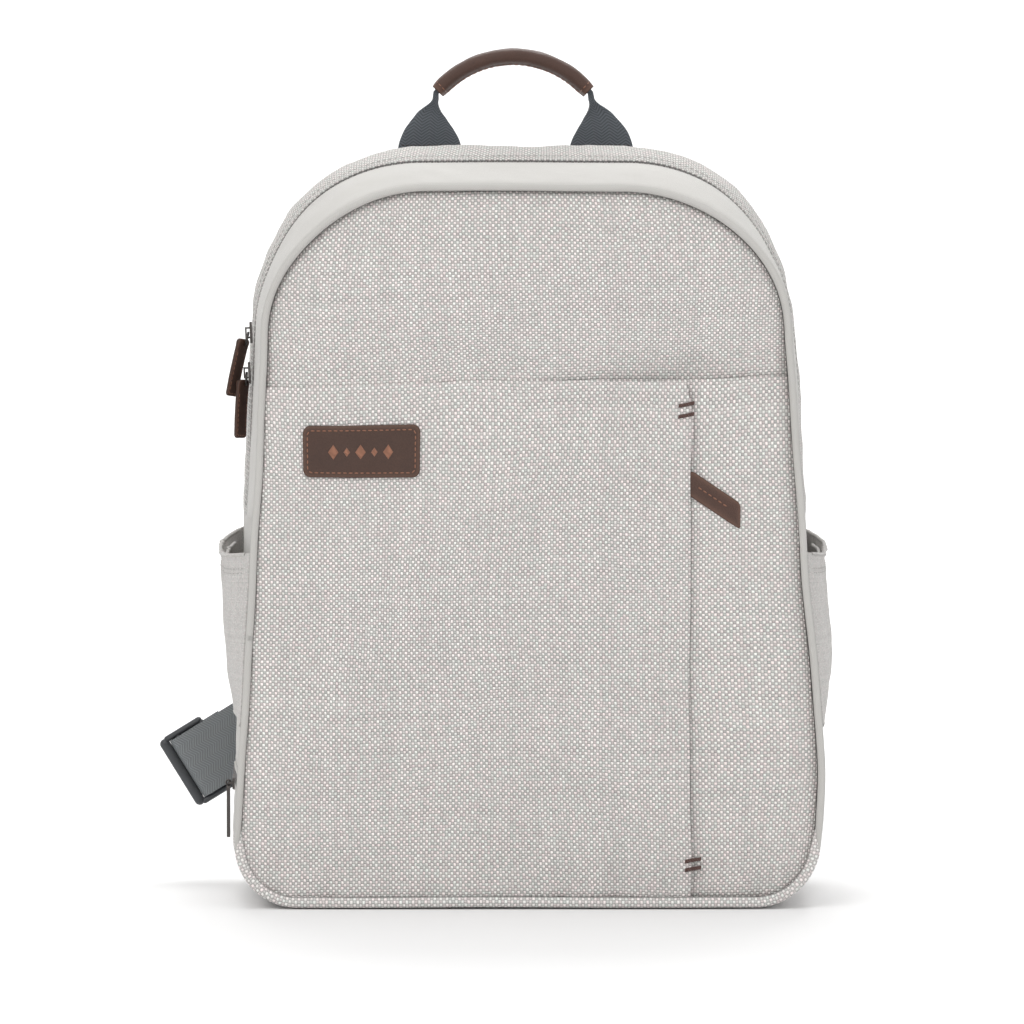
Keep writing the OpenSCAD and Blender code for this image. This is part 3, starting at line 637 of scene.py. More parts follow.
def twill_mat(name, col, p=0.9, depth=0.10, contrast=0.12, rough=0.8, heather=0.05, slope=1.0, mottle=0.1):
    g = Nodes(name)
    wv = g.attr("wv").outputs["Vector"]
    u, v, w = g.split(wv)
    d = g.math("DIVIDE", g.math("ADD", u, g.math("MULTIPLY", v, slope)), p * MM)
    cross = g.math("DIVIDE", g.math("SUBTRACT", v, g.math("MULTIPLY", u, slope)), p * MM * 1.7)
    s = g.math("SINE", g.math("MULTIPLY", d, 2 * math.pi))
    s2 = g.math("SINE", g.math("MULTIPLY", cross, 2 * math.pi))
    h = g.math("MULTIPLY_ADD", s, 0.5, 0.5)
    h = g.math("MULTIPLY", h, g.math("MULTIPLY_ADD", s2, 0.2, 0.8))
    fuzz = g.noise(wv, 4000.0, 2.0, 0.7)
    big = g.noise(wv, 18.0, 3.0, 0.55)
    slub = g.noise(g.join(g.math("MULTIPLY", u, 0.12), v), 900.0, 2.0)
    shade = g.math("MULTIPLY_ADD", h, contrast, 1.0 - contrast)
    shade = g.math("MULTIPLY", shade, g.math("MULTIPLY_ADD", fuzz, heather * 2, 1.0 - heather))
    shade = g.math("MULTIPLY", shade, g.math("MULTIPLY_ADD", slub, heather, 1.0 - heather / 2))
    shade = g.math("MULTIPLY", shade, g.math("MULTIPLY_ADD", big, mottle, 1.0 - mottle / 2))
    n = g.bump(g.math("MULTIPLY_ADD", fuzz, 0.35, h), depth * MM)
    r = g.math("MULTIPLY_ADD", fuzz, 0.14, rough - 0.07)
    return g.finish(g.scale(col, shade), r, n, sheen=0.2, sheen_rough=0.5, spec=0.3)


def webbing_mat(name, col, p=1.25, rough=0.72, ribs=0.32):
    """Strap webbing: fine ribs across its length in two rows per thread, with a plain selvedge."""
    g = Nodes(name)
    wv = g.attr("wv").outputs["Vector"]
    u, v, w = g.split(wv)
    zig = g.math("PINGPONG", g.math("DIVIDE", v, 4.6 * MM), 1.0)
    a = g.math("ADD", g.math("DIVIDE", u, p * MM), g.math("MULTIPLY", zig, 1.8))
    s = g.math("MULTIPLY_ADD", g.math("SINE", g.math("MULTIPLY", a, 2 * math.pi)), 0.5, 0.5)
    t = g.math("MULTIPLY_ADD", g.math("SINE", g.math("DIVIDE", v, 0.62 * MM / (2 * math.pi))), 0.5, 0.5)
    h = g.math("MULTIPLY_ADD", t, 0.35, g.math("MULTIPLY", s, 0.65))
    fuzz = g.noise(wv, 4500.0, 2.0, 0.7)
    big = g.noise(wv, 30.0, 2.0)
    shade = g.math("MULTIPLY", g.math("MULTIPLY_ADD", h, ribs, 1.04 - ribs), g.math("MULTIPLY_ADD", fuzz, 0.2, 0.9))
    shade = g.math("MULTIPLY", shade, g.math("MULTIPLY_ADD", big, 0.14, 0.93))
    n = g.bump(g.math("MULTIPLY_ADD", fuzz, 0.2, h), 0.22 * MM)
    return g.finish(g.scale(col, shade), g.math("MULTIPLY_ADD", fuzz, 0.16, rough - 0.08), n, sheen=0.15, sheen_rough=0.4, spec=0.35)


def leather_mat(name, col, worn, rough=0.56):
    """Pebbled leather. The edge attribute darkens a cut edge and lightens the rubbed rim beside it."""
    g = Nodes(name)
    wv = g.attr("wv").outputs["Vector"]
    e = g.attr("edge").outputs["Fac"]
    pebble = g.voronoi(wv, 1150.0, "F1")
    crease = g.voronoi(wv, 620.0, "DISTANCE_TO_EDGE")
    fine = g.noise(wv, 2400.0, 3.0, 0.65)
    big = g.noise(wv, 70.0, 3.0, 0.55)
    h = g.math("ADD", g.math("MULTIPLY", g.math("SUBTRACT", 1.0, pebble), 0.7), g.math("MULTIPLY", g.math("MINIMUM", g.math("MULTIPLY", crease, 5.0), 1.0), 0.5))
    h = g.math("MULTIPLY_ADD", fine, 0.3, h)
    shade = g.math("MULTIPLY", g.math("MULTIPLY_ADD", pebble, -0.22, 1.07), g.math("MULTIPLY_ADD", big, 0.36, 0.82))
    c = g.scale(col, shade)
    rub = g.math("MULTIPLY", g.math("MULTIPLY", e, g.math("SUBTRACT", 1.0, e)), 4.0)
    c = g.mix(g.math("MULTIPLY", g.math("MULTIPLY", rub, fine), 0.75, clamp=True), c, worn)
    dark = g.math("MULTIPLY", g.math("SUBTRACT", e, 0.75, clamp=True), 2.6, clamp=True)
    c = g.mix(dark, c, (col[0] * 0.35, col[1] * 0.33, col[2] * 0.33, 1))
    r = g.math("MULTIPLY_ADD", fine, 0.22, g.math("MULTIPLY_ADD", big, 0.12, rough - 0.17))
    return g.finish(c, r, g.bump(h, 0.12 * MM, 0.8), spec=0.42)


def mesh_mat(name, col):
    """Spacer mesh: round holes in offset rows, with painted shade filling the holes."""
    g = Nodes(name)
    wv = g.attr("wv").outputs["Vector"]
    u, v, w = g.split(wv)
    P = 3.4 * MM
    row = g.math("DIVIDE", v, P * 0.6)
    iv = g.math("FLOOR", row)
    off = g.math("MULTIPLY", g.math("FLOORED_MODULO", iv, 2.0), 0.5)
    fu = g.math("SUBTRACT", g.math("FRACT", g.math("ADD", g.math("DIVIDE", u, P), off)), 0.5)
    fv = g.math("SUBTRACT", g.math("FRACT", row), 0.5)
    d = g.math("SQRT", g.math("ADD", g.math("MULTIPLY", fu, fu), g.math("MULTIPLY", g.math("MULTIPLY", fv, fv), 0.45)))
    hole = g.map(d, 0.19, 0.29, 1.0, 0.0)
    fuzz = g.noise(wv, 3600.0, 2.0, 0.7)
    big = g.noise(wv, 22.0, 3.0)
    knit = g.math("SINE", g.math("DIVIDE", g.math("ADD", u, v), 0.55 * MM / 6.283))
    # Painted shade: inside each hole the colour drops to about a sixth of the mesh's colour.
    c = g.mix(hole, g.scale(col, g.math("MULTIPLY", g.math("MULTIPLY_ADD", fuzz, 0.3, 0.85), g.math("MULTIPLY_ADD", big, 0.14, 0.93))), (col[0] * 0.16, col[1] * 0.16, col[2] * 0.17, 1))
    h = g.math("ADD", g.math("SUBTRACT", 1.0, hole), g.math("MULTIPLY_ADD", knit, 0.05, g.math("MULTIPLY", fuzz, 0.12)))
    return g.finish(c, g.math("MULTIPLY_ADD", fuzz, 0.12, 0.8), g.bump(h, 0.7 * MM), sheen=0.2, sheen_rough=0.5, spec=0.3)


def coil_mat(name, col, rough=0.42):
    g = Nodes(name)
    wv = g.attr("wv").outputs["Vector"]
    fine = g.noise(wv, 3000.0, 2.0, 0.6)
    big = g.noise(wv, 60.0, 2.0)
    shade = g.math("MULTIPLY", g.math("MULTIPLY_ADD", fine, 0.3, 0.85), g.math("MULTIPLY_ADD", big, 0.24, 0.88))
    return g.finish(g.scale(col, shade), g.math("MULTIPLY_ADD", fine, 0.2, rough - 0.1), g.bump(fine, 0.05 * MM, 0.7), spec=0.5)


def solid_mat(name, col, rough, metallic=0.0, grain=900.0, depth=0.03, vary=0.18, scratch=0.0, spec=0.5, coat=None):
    """Moulded or cast parts, by position: fine grain, slow mottling and a few rub marks."""
    g = Nodes(name)
    n = g.nt.nodes.new("ShaderNodeTexCoord")
    pos = n.outputs["Object"]
    x, y, z = g.split(pos)
    fine = g.noise(pos, grain, 3.0, 0.6)
    big = g.noise(pos, 90.0, 3.0, 0.55)
    rub = g.noise(g.join(x, y, g.math("MULTIPLY", z, 0.08)), grain * 1.4, 2.0, 0.5)
    shade = g.math("MULTIPLY", g.math("MULTIPLY_ADD", fine, vary, 1 - vary / 2), g.math("MULTIPLY_ADD", big, vary, 1 - vary / 2))
    rr = g.math("ADD", g.math("MULTIPLY_ADD", fine, 0.16, rough - 0.12), g.math("MULTIPLY", rub, 0.10 + scratch))
    h = g.math("MULTIPLY_ADD", rub, scratch * 2, fine)
    return g.finish(g.scale(col, shade), rr, g.bump(h, depth * MM, 0.7), metallic=metallic, spec=spec, coat=coat)


def thread_mat(name, col):
    g = Nodes(name)
    wv = g.attr("wv").outputs["Vector"]
    u, v, w = g.split(wv)
    tw = g.math("SINE", g.math("MULTIPLY", g.math("ADD", u, g.math("MULTIPLY", v, 0.8)), 4200.0))
    fine = g.noise(wv, 1800.0, 2.0)
    shade = g.math("MULTIPLY", g.math("MULTIPLY_ADD", tw, 0.12, 0.88), g.math("MULTIPLY_ADD", fine, 0.4, 0.8))
    return g.finish(g.scale(col, shade), g.math("MULTIPLY_ADD", fine, 0.2, 0.5), g.bump(tw, 0.08 * MM, 0.6), sheen=0.3, sheen_rough=0.4, spec=0.4)


M = dict(
    front=weave_mat("woven_front", lin(254, 249, 246), p=1.56, depth=0.6, valley_shade=0.48, heather=0.1, net=0.40),
    rear=weave_mat("woven_rear", lin(236, 233, 229), p=1.56, depth=0.55, valley_shade=0.48, net=0.38),
    back=weave_mat("woven_back", lin(216, 213, 210), net=0.25),
    # Woven base: set lighter than the rear weave to make up for the shade on the downward-facing base band, a painted
    # light.
    base=weave_mat("woven_base", lin(253, 249, 246), p=1.7, depth=0.55, valley_shade=0.5, net=0.34),
    twill=twill_mat("twill", lin(196, 194, 190), mottle=0.07),
    piping=twill_mat("piping_twill", lin(197, 195, 191), p=0.8, contrast=0.16),
    melange=weave_mat("melange", lin(204, 201, 198), p=0.72, depth=0.2, valley_shade=0.72, heather=0.12, tint=0.02, fibre=0.8, slack=0.1),
    strapcloth=weave_mat("strap_melange", lin(193, 191, 189), p=0.9, depth=0.24, valley_shade=0.7, heather=0.09, tint=0.02),
    lining=twill_mat("lining", lin(176, 174, 172), p=1.1, depth=0.06, contrast=0.08, rough=0.62, mottle=0.12),
    pad=mesh_mat("spacer_mesh", lin(172, 171, 171)),
    binding=twill_mat("binding", lin(158, 157, 157), p=1.4, depth=0.2, contrast=0.26, slope=0.0),
    strap=webbing_mat("strap_webbing", lin(128, 132, 134), p=1.6, ribs=0.5),
    handleweb=webbing_mat("handle_webbing", lin(96, 101, 107), p=1.7, ribs=0.66),
    tape=twill_mat("zip_tape", lin(120, 118, 117), p=1.0, depth=0.12, contrast=0.25),
    coil=coil_mat("zip_coil", lin(96, 93, 92)),
    leather=leather_mat("leather", lin(75, 52, 43), lin(118, 88, 74)),
    label=leather_mat("label_leather", lin(70, 49, 40), lin(108, 80, 66)),
    thread=thread_mat("thread_light", lin(168, 165, 162)),
    copper=thread_mat("thread_copper", lin(146, 100, 78)),
    brown=thread_mat("thread_brown", lin(92, 66, 60)),
    darkthread=thread_mat("thread_dark", lin(58, 46, 42)),
    gunmetal=solid_mat("gunmetal", lin(92, 88, 86), 0.34, metallic=1.0, grain=1600, depth=0.02, scratch=0.12),
    plastic=solid_mat("lock_plastic", lin(58, 60, 63), 0.46, grain=2200, depth=0.05, vary=0.14),
    board=solid_mat("stiffener", lin(60, 60, 62), 0.6, grain=700, depth=0.06),
    elastic=twill_mat("elastic", lin(206, 203, 200), p=0.9, contrast=0.2, slope=0.0),
)


# ---------------------------------------------------------------- finishing a piece
def keep(o, body=None, nodes=(), blend=None):
    if blend:
        a, b, s, e = blend
        [c * MM for c in s]
        [c * MM for c in e]
        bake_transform(o)
    else:
        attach(o, body or SHELL)
    if nodes:
        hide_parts(*([nodes] if isinstance(nodes, str) else nodes))
    return o


def lid_blend(z0, z1):
    return (SHELL, "lid", (0, -65, z0), (0, -65, z1))


PANEL_BLEND = lid_blend(285, 304)
GUSSET_BLEND = lid_blend(262, 308)


def band_grid(vs, kind, d, z0=None, z1=None, puff=None, **k):
    """Points of a band of the shell over the stations at nominal depths vs. d is depth below the surface, a number or a function of the share across."""
    out = []
    for i, v in enumerate(vs):
        s = st(v)
        t = i / (len(vs) - 1)
        dd = d(t) if callable(d) else d
        if kind == "arch":
            out.append(lift(s, arch2(s, dd, z0, **k)))
        elif kind == "foot":
            out.append(lift(s, foot2(s, dd, z1, **k)))
        else:
            z = np.linspace(z0, z1, k.get("n", 40))
            x = side_x(s, z, dd) * (-1 if kind == "left" else 1)
            out.append(np.stack([x, s[6] + s[7] * z, z], 1))
    return np.array(out)


def grid_wv(G):
    a = np.cumsum(np.r_[np.zeros((1, G.shape[1])), np.linalg.norm(np.diff(G, axis=0), axis=2)], 0).mean(1)
    b = np.cumsum(np.c_[np.zeros((G.shape[0], 1)), np.linalg.norm(np.diff(G, axis=1), axis=2)], 1).mean(0)
    b = b - b.mean()
    A, B = np.broadcast_arrays(a[:, None], b[None, :])
    return np.stack([B, A], -1)


def grid_normal(G):
    du, dv = np.gradient(G, axis=0), np.gradient(G, axis=1)
    return unit(np.cross(du, dv))


def push(G, amount, away=(0, -5, 220)):
    """Moves the points of a grid outwards from the middle of the bag by an amount in mm."""
    N = grid_normal(G)
    c = arr(*away)
    sign = np.sign(np.einsum("ijk,ijk->", N, G - c))
    return G + N * (sign * amount)[..., None]


def band(name, vs, kind, mat, d0=0.0, thick=2.0, wr=0.0, wave=26, seed=11, puff=0.0, roll=0.0, **k):
    O = band_grid(vs, kind, d0, **k)
    I = band_grid(vs, kind, (lambda t: (d0(t) if callable(d0) else d0) + thick), **k)
    w = grid_wv(O)
    t = np.linspace(0, 1, len(vs))[:, None]
    amount = puff * np.sin(np.pi * t) ** 0.8 * np.ones(O.shape[:2])
    if wr:
        amount = amount + wr * field(O.reshape(-1, 3), wave, seed, 3).reshape(O.shape[:2]) * np.sin(np.pi * t) ** 0.5
    O, I = push(O, amount), push(I, amount * 0.9)
    return shell(name, soften(O), soften(I), mat, w)


# ---------------------------------------------------------------- shell: gussets, sides and base
rear_vs = np.r_[np.linspace(-4.2, 50, 24), np.linspace(52, 58, 6)]
o = band("rear_gusset_cloth", rear_vs, "arch", M["rear"], z0=214, wr=0.5, puff=1.1, seed=21, ns=34, na=40, nt=24)
keep(o, nodes="rear_gusset")
front_vs = np.linspace(-66.9, -12.0, 20)
o = band("front_gusset_cloth", front_vs, "arch", M["twill"], z0=214, wr=0.35, wave=30, seed=22, puff=0.7, ns=44, na=36, nt=22)
keep(o, nodes=("front_gusset", "lid_gusset"), blend=GUSSET_BLEND)
side_vs = np.r_[np.linspace(-66.9, 50, 34), np.linspace(52, 58, 6)]
for kind, node in (("left", "side_panel_left"), ("right", "side_panel_right")):
    o = band(f"{node}_cloth", side_vs, kind, M["twill"], z0=37.9, z1=213.8, n=60, wr=0.6, wave=45, seed=23, puff=0.6)
    keep(o, nodes=node)
o = band("base_cloth", side_vs, "foot", M["base"], z1=37.8, wr=0.5, wave=34, seed=25, puff=0.5)
keep(o, nodes="base_panel")

# Back panel: an outline sheet, edge to edge.
def outline(s, d, n=260):
    a = arch2(s, d, 150, ns=24, na=26, nt=14)
    f = foot2(s, d, 150, ns=14, na=22, nt=34)
    return np.vstack([a, f[::-1][1:-1]])


def width_at(s, d, z):
    """Half width of a station's outline at height z."""
    f = tilt(s)
    zt, zb = s[1] + (s[2] - d) * math.sin(f), s[4] + (s[5] - d) * math.sin(f)
    if z > zt:
        return s[0] + math.sqrt(max(0.0, (s[2] - d) ** 2 - (z - s[1]) ** 2))
    if z < zb:
        return s[3] + math.sqrt(max(0.0, (s[5] - d) ** 2 - (s[4] - z) ** 2))
    return side_x(s, z, d)


def back_sheet(name, y0, y1, d, mat, z0=None, n=(90, 70)):
    s = st(58)
    lo = s[4] - s[5] + d if z0 is None else z0
    zs = dense_ends(lo, s[1] + s[2] - d, n[0], 0.9, 0.9)
    X, Z = rows(zs, lambda z: -width_at(s, d, z), lambda z: width_at(s, d, z), n[1])
    e = edge_distance(X, Z, np.vstack([outline(s, d), outline(s, d)[:1]]))
    bulge = 0.8 * (1 - np.exp(-e / 20))
    O = np.stack([X, y1 - 1.6 * np.exp(-e / 2.0) + bulge * 0, Z], -1)
    I = np.stack([X, np.full(X.shape, y0), Z], -1)
    return shell(name, soften(O), soften(I), mat, np.stack([X, Z], -1))


o = back_sheet("back_panel_cloth", 58.2, 61.0, 0.4, M["back"])
keep(o, nodes="back_panel")
s58 = st(58)
P = lift(s58, outline(s58, 1.4))
P[:, 1] = 59.6
P = soften(np.vstack([P]))
o = round_tube("back_piping", P, 1.9, M["piping"], k=10, loop=True)
keep(o)

# ---------------------------------------------------------------- front
F_out = outline(sF, 0)


def seam_dip(x):
    """How far the upper front panel sits back just above the fold, by x."""
    return 0.8 + 4.2 * step(-30, 96, x) * (1 - 0.35 * step(108, 140, x))


def front_face(x, z, part):
    """Depth in front of the leaning front plane for the cloth of the front."""
    e = edge_distance(x, z, F_out)
    P = front(x, z, 0).reshape(-1, 3)
    slow = field(P, 120, 41, 2).reshape(x.shape)
    fold = field(P * arr(1, 1, 0.45), 42, 42, 2).reshape(x.shape)
    crown = 1 - np.exp(-np.maximum(e - 2.4, 0) / 13.0)
    if part == "lid":
        s = -0.4 + 4.0 * crown + 0.7 * slow * crown
        up = z - FOLD
        s -= seam_dip(x) * np.exp(-(np.maximum(up, 0) / 11.0) ** 1.4)
        # A dimple where the upper panel tucks in beside the fly, and a faint pull running up from it.
        s -= 2.8 * np.exp(-(((x - 92) / 15) ** 2) - ((up - 7) / 8) ** 2)
        s += 1.0 * np.exp(-(((x - 64) / 26) ** 2) - ((up - 18) / 10) ** 2)
        s -= 0.5 * np.exp(-(((x - 94 - 0.25 * up) / 10) ** 2)) * step(80, 10, up)
        s += 0.35 * fold * crown
        return s
    if part == "pocket":
        s = 1.9 + 3.1 * crown + 0.8 * slow * crown + 0.35 * fold * crown
        top = FOLD - 0.6 - z
        s += 0.9 * np.exp(-(top / 7.0) ** 2) - 1.8 * np.exp(-np.maximum(top, 0) / 1.1)
        fly = FLY - x
        s += 0.7 * np.exp(-((fly - 3) / 4.0) ** 2) - 1.5 * np.exp(-np.maximum(fly, 0) / 1.0)
        s += 0.5 * bell(z, 40, 30) * slow
        return s
    s = -1.2 + 3.2 * crown + 0.6 * slow * crown + 0.4 * fold * crown
    # Hollow where the zip's pull lies.
    s -= 2.4 * np.exp(-(((x - 101) / 15) ** 2) - ((z - 249) / 17) ** 2)
    s -= 0.7 * np.exp(-np.maximum(x - FLY - 2, 0) / 6.0)
    return s


def pinch(x, z):
    """Short pulls in the cloth at the bottom corners, where the seam gathers it."""
    a = np.zeros(np.broadcast(x, z).shape)
    for px, w in ((-108, 5.0), (50, 6.0), (-140, 5.5), (128, 5.5), (20, 4.0)):
        a -= 1.9 * np.exp(-(((x - px - 0.18 * (z - 8)) / w) ** 2)) * step(34, 8, z)
    return a


def front_cloth(name, zs, xl, xr, nx, part, thick, mat, dense=0.55, back=None):
    X, Z = rows(zs, xl, xr, nx, dense)
    s = front_face(X, Z, part)
    if part != "lid":
        s = s + pinch(X, Z)
    # The cloth turns in to meet the piping.
    e = edge_distance(X, Z, F_out)
    s = s - 1.1 * np.exp(-np.maximum(e - 2.2, 0) / 1.6)
    O = front(X, Z, s)
    I = front(X, Z, s - thick)
    w = np.stack([X + 0.9 * field(front(X, Z, 0).reshape(-1, 3), 160, 44).reshape(X.shape), Z + 1.1 * field(front(X, Z, 0).reshape(-1, 3), 140, 45).reshape(X.shape)], -1)
    return shell(name, soften(O), soften(I), mat, w), X, Z


d_in = 2.2
wl = lambda z: -width_at(sF, d_in, z)
wr_ = lambda z: width_at(sF, d_in, z)


def fly_x(z):
    """The fly's free edge: straight, bowing towards the middle at its top."""
    return FLY + 0.4 - 3.2 * float(step(270, 286, z)) + 1.2 * float(bell(z, 262, 14))


zs = np.r_[dense_ends(4 + d_in, FOLD - 0.5, 150, 0.9, 0.75)]
o, _, _ = front_cloth("pocket_panel_cloth", zs, wl, lambda z: min(fly_x(z), wr_(z)), 150, "pocket", 1.7, M["front"])
keep(o, nodes="pocket_panel")
o, _, _ = front_cloth("side_strip_cloth", zs, lambda z: FLY - 4.5, wr_, 46, "strip", 1.2, M["front"])
keep(o, nodes="front_side_panel")
zs = dense_ends(FOLD - 3.0, sF[1] + sF[2] - d_in, 96, 0.75, 0.92)
o, _, _ = front_cloth("lid_panel_cloth", zs, wl, wr_, 170, "lid", 1.5, M["front"])
keep(o, nodes="lid_panel", blend=PANEL_BLEND)

# Piping all round the front, in one run.
a = arch2(sF, 0, 150, ns=60, na=50, nt=26)
f = foot2(sF, 0, 150, ns=40, na=36, nt=60)
loop = np.vstack([a, f[::-1][1:-1]])
P = soften(front(loop[:, 0], loop[:, 1], 2.0))
o = round_tube("front_piping", P, 0.85 + 1.2 * step(26, 50, loop[:, 1]), M["piping"], k=12, loop=True)
keep(o, nodes=("piping_lower", "lid_piping"), blend=PANEL_BLEND)
# Below, the woven base rolls forward past the seam instead.
q = foot2(sF, -0.5, 46, ns=30, na=44, nt=90) * arr(0.987, 1)
r = 2.7 * step(47, 30, q[:, 1]) + 0.3
o = round_tube("base_lip", soften(front(q[:, 0], q[:, 1] + 0.25, 1.1 - 0.5 * step(30, 46, q[:, 1]))), r, M["base"], up=(0, 1, 0), k=14)
keep(o)
# The piping's sewn flange, a narrow welt on the gusset beside it.
G = np.array([lift(sF, loop) * arr(1, 1, 1) + arr(0, dy, 0) for dy in (1.0, 3.2, 5.6)])
c = arr(0, 0, 215)
R = unit((loop - arr(0, 215)) * 1.0)
G[:, :, 0] += R[None, :, 0] * arr(0.6, 0.75, 0.5)[:, None]
G[:, :, 2] += R[None, :, 1] * arr(0.6, 0.75, 0.5)[:, None]
Gi = G.copy()
Gi[:, :, 0] -= R[None, :, 0] * 1.0
Gi[:, :, 2] -= R[None, :, 1] * 1.0
o = shell("front_welt", soften(G), soften(Gi), M["twill"], grid_wv(G), wrap=True)
keep(o, blend=PANEL_BLEND)
# Its line of topstitching.
L = G[2] + np.stack([R[:, 0] * 0.75, R[:, 0] * 0 - 0.6, R[:, 1] * 0.75], 1)
U = np.stack([R[:, 0], R[:, 0] * 0, R[:, 1]], 1)
L = np.vstack([L, L[:1]])
U = np.vstack([U, U[:1]])
top = np.where(L[:, 2] > 4.5)[0]
o = stitches("front_welt_stitches", soften(L), U, M["thread"], pitch=3.4, length=2.4, r=0.26)
keep(o, blend=PANEL_BLEND)

# Hidden wall behind the front pocket, and its zip.
zs = dense_ends(6.8, FOLD - 0.8, 40, 0.9, 0.2)
X, Z = rows(zs, lambda z: -width_at(sF, 2.8, z), lambda z: width_at(sF, 2.8, z), 40)
s0 = -3.6 + 0.3 * field(front(X, Z, 0).reshape(-1, 3), 60, 47).reshape(X.shape)
o = shell("front_wall_cloth", soften(front(X, Z, s0)), soften(front(X, Z, s0 - 0.8)), M["lining"], np.stack([X, Z], -1))
keep(o, nodes="front_wall")
for k, (x0, x1) in enumerate(((78.5, 85.6), (86.4, 92.6))):
    zz = np.linspace(14, 280, 90)
    xx = np.linspace(x0, x1, 7)
    X, Z = np.meshgrid(xx, zz)
    o = shell(f"pocket_zip_tape_{k}", soften(front(X, Z, -2.75)), soften(front(X, Z, -3.1)), M["tape"], np.stack([X, Z], -1))
    keep(o, nodes="pocket_zip_tapes")
zz = np.linspace(22, 274, 120)
for k, x in enumerate((84.9, 87.1)):
    o = teeth(f"pocket_zip_coil_{k}", soften(front(np.full(zz.shape, x), zz, -1.9)), (0, -1, 0), (1, 0, 0), M["coil"], size=(0.6, 1.2, 0.75))
    keep(o, nodes="pocket_zip_teeth")

def on_cloth(xs, zs_, part, extra=0.0):
    X, Z = np.atleast_2d(xs), np.atleast_2d(zs_)
    s = front_face(X, Z, part)
    if part != "lid":
        s = s + pinch(X, Z)
    s = s - 1.1 * np.exp(-np.maximum(edge_distance(X, Z, F_out) - 2.2, 0) / 1.6)
    return soften(front(X, Z, s + extra))[0]


# Bar tacks, each a close row of satin stitches.
def bar_tack(name, x, z, w, h, part, turn=0.0):
    n = int(w / 0.62)
    q = (np.arange(n) + 0.5) / n - 0.5
    ca, sa = math.cos(turn), math.sin(turn)
    xs, zs_ = x + q * w * ca, z + q * w * sa
    C = on_cloth(xs, zs_, part, 0.35)
    X = np.tile(arr(-sa * h / 2, 0, ca * h / 2), (n, 1)) + np.tile(arr(ca, 0, sa) * 0.25, (n, 1))
    Y = np.tile(arr(ca, 0, sa) * 0.42, (n, 1))
    Zv = np.tile(arr(0, -0.5, 0), (n, 1))
    return copies(name, BEAD[0], BEAD[1], C, X, Y, Zv, M["brown"])


for k, (x, z) in enumerate(((92.0, 22.6), (92.0, 27.4), (88.8, 269.0), (88.8, 274.0))):
    keep(bar_tack(f"bar_tack_{k}", x, z, 8.8, 2.3, "pocket", math.radians(8)), nodes="bar_tacks")

# Label: soft leather patch with a sewn border and a plain row of lozenges.
def leather_plate(name, a, b, r, thick, place, mat, n=(26, 44), soft=0.8, wrinkle=0.12, seed=5):
    """A rounded plate; place(x, z, h) gives the point for plate coordinates and height."""
    zs_ = dense_ends(-b, b, n[0], 0.92, 0.92)
    X, Z = rows(zs_, lambda z: -rounded_x(a, b, r, z), lambda z: rounded_x(a, b, r, z), n[1], 0.9)
    t = np.linspace(0, 2 * np.pi, 80)
    out = np.array([(np.sign(math.cos(q)) * (a - r) + r * math.cos(q), np.sign(math.sin(q)) * (b - r) + r * math.sin(q)) for q in np.r_[t, t[:1]]])
    e = edge_distance(X, Z, out)
    h = thick * np.sqrt(np.clip(1 - (1 - np.clip(e / soft, 0, 1)) ** 2, 0, 1)) * 0.5 + thick * 0.5
    P3 = np.stack([X, Z, X * 0], -1).reshape(-1, 3)
    h = h + wrinkle * field(P3, 14, seed, 2).reshape(X.shape)
    low = thick * 0.5 * (1 - np.sqrt(np.clip(1 - (1 - np.clip(e / soft, 0, 1)) ** 2, 0, 1)))
    wear = np.exp(-e / 0.9)
    return shell(name, place(X, Z, h), place(X, Z, low), mat, np.stack([X, Z], -1), wear, sharp=50)


LX, LZ = -90.2, 251.6
lt = math.radians(-0.8)


def label_at(x, z, h):
    X, Z = LX + x * math.cos(lt) - z * math.sin(lt), LZ + x * math.sin(lt) + z * math.cos(lt)
    s = front_face(X, Z, "pocket") + pinch(X, Z)
    return soften(front(X, Z, s + h + 0.05))


o = leather_plate("label_leather_patch", 32, 13.5, 4.2, 1.5, label_at, M["label"], n=(34, 60), soft=1.0, wrinkle=0.08)
keep(o, nodes="label_patch")


def rounded_loop(a, b, r, n=24):
    t = np.linspace(0, math.pi / 2, n)
    q = []
    for sx, sz, off in ((1, 1, 0), (-1, 1, 90), (-1, -1, 180), (1, -1, 270)):
        for k in t:
            w = k + math.radians(off)
            q.append((sx * (a - r) + r * math.cos(w), sz * (b - r) + r * math.sin(w)))
    q.append(q[0])
    q = np.array(q)
    L = along(q)
    s = np.linspace(0, L[-1], 240)
    return np.stack([np.interp(s, L, q[:, 0]), np.interp(s, L, q[:, 1])], 1)


q = rounded_loop(29.4, 10.9, 2.6)
o = stitches("label_stitches", label_at(q[:, 0][None], q[:, 1][None], 1.55)[0], (0, -1, 0), M["copper"], pitch=3.1, length=2.1, r=0.36)
keep(o)


def lozenge(cx, cz, rx, rz, h=0.22, n=4, turn=0.0):
    """A small raised four-sided motif, with a rim and a flat top."""
    a = turn + np.arange(n) * 2 * np.pi / n
    ring = lambda f, hh: label_at((cx + f * rx * np.cos(a))[None], (cz + f * rz * np.sin(a))[None], 1.5 + hh)[0]
    return np.vstack([ring(1, -0.3), ring(1, 0.02), ring(0.8, h)])


parts, faces = [], []
for k, cx in enumerate((-15, -7.5, 0, 7.5, 15)):
    big = 1.0 if k % 2 == 0 else 0.62
    V = lozenge(cx, 0.0, 2.9 * big, 3.9 * big)
    off = len(parts) * 12
    parts.append(V)
    faces.append(quads(3, 4, True, off))
    faces.append(np.arange(4)[::-1][None] + off)
    faces.append(np.arange(8, 12)[None] + off)
V = np.vstack(parts)
qd = np.vstack([F for F in faces])
o = mesh("label_motif", V, [qd], M["copper"], np.repeat(np.arange(len(V))[:, None], 2, 1) * 0.4, closed=True, smooth=False)
keep(o)


# ---------------------------------------------------------------- main zip
def depth_station(y):
    """The station at nominal depth y where its plane stands upright, as the CAD's zip bands have it."""
    s = st(y)
    return [s[0], s[1], s[2], s[3], s[4], s[5], y, 0.0]


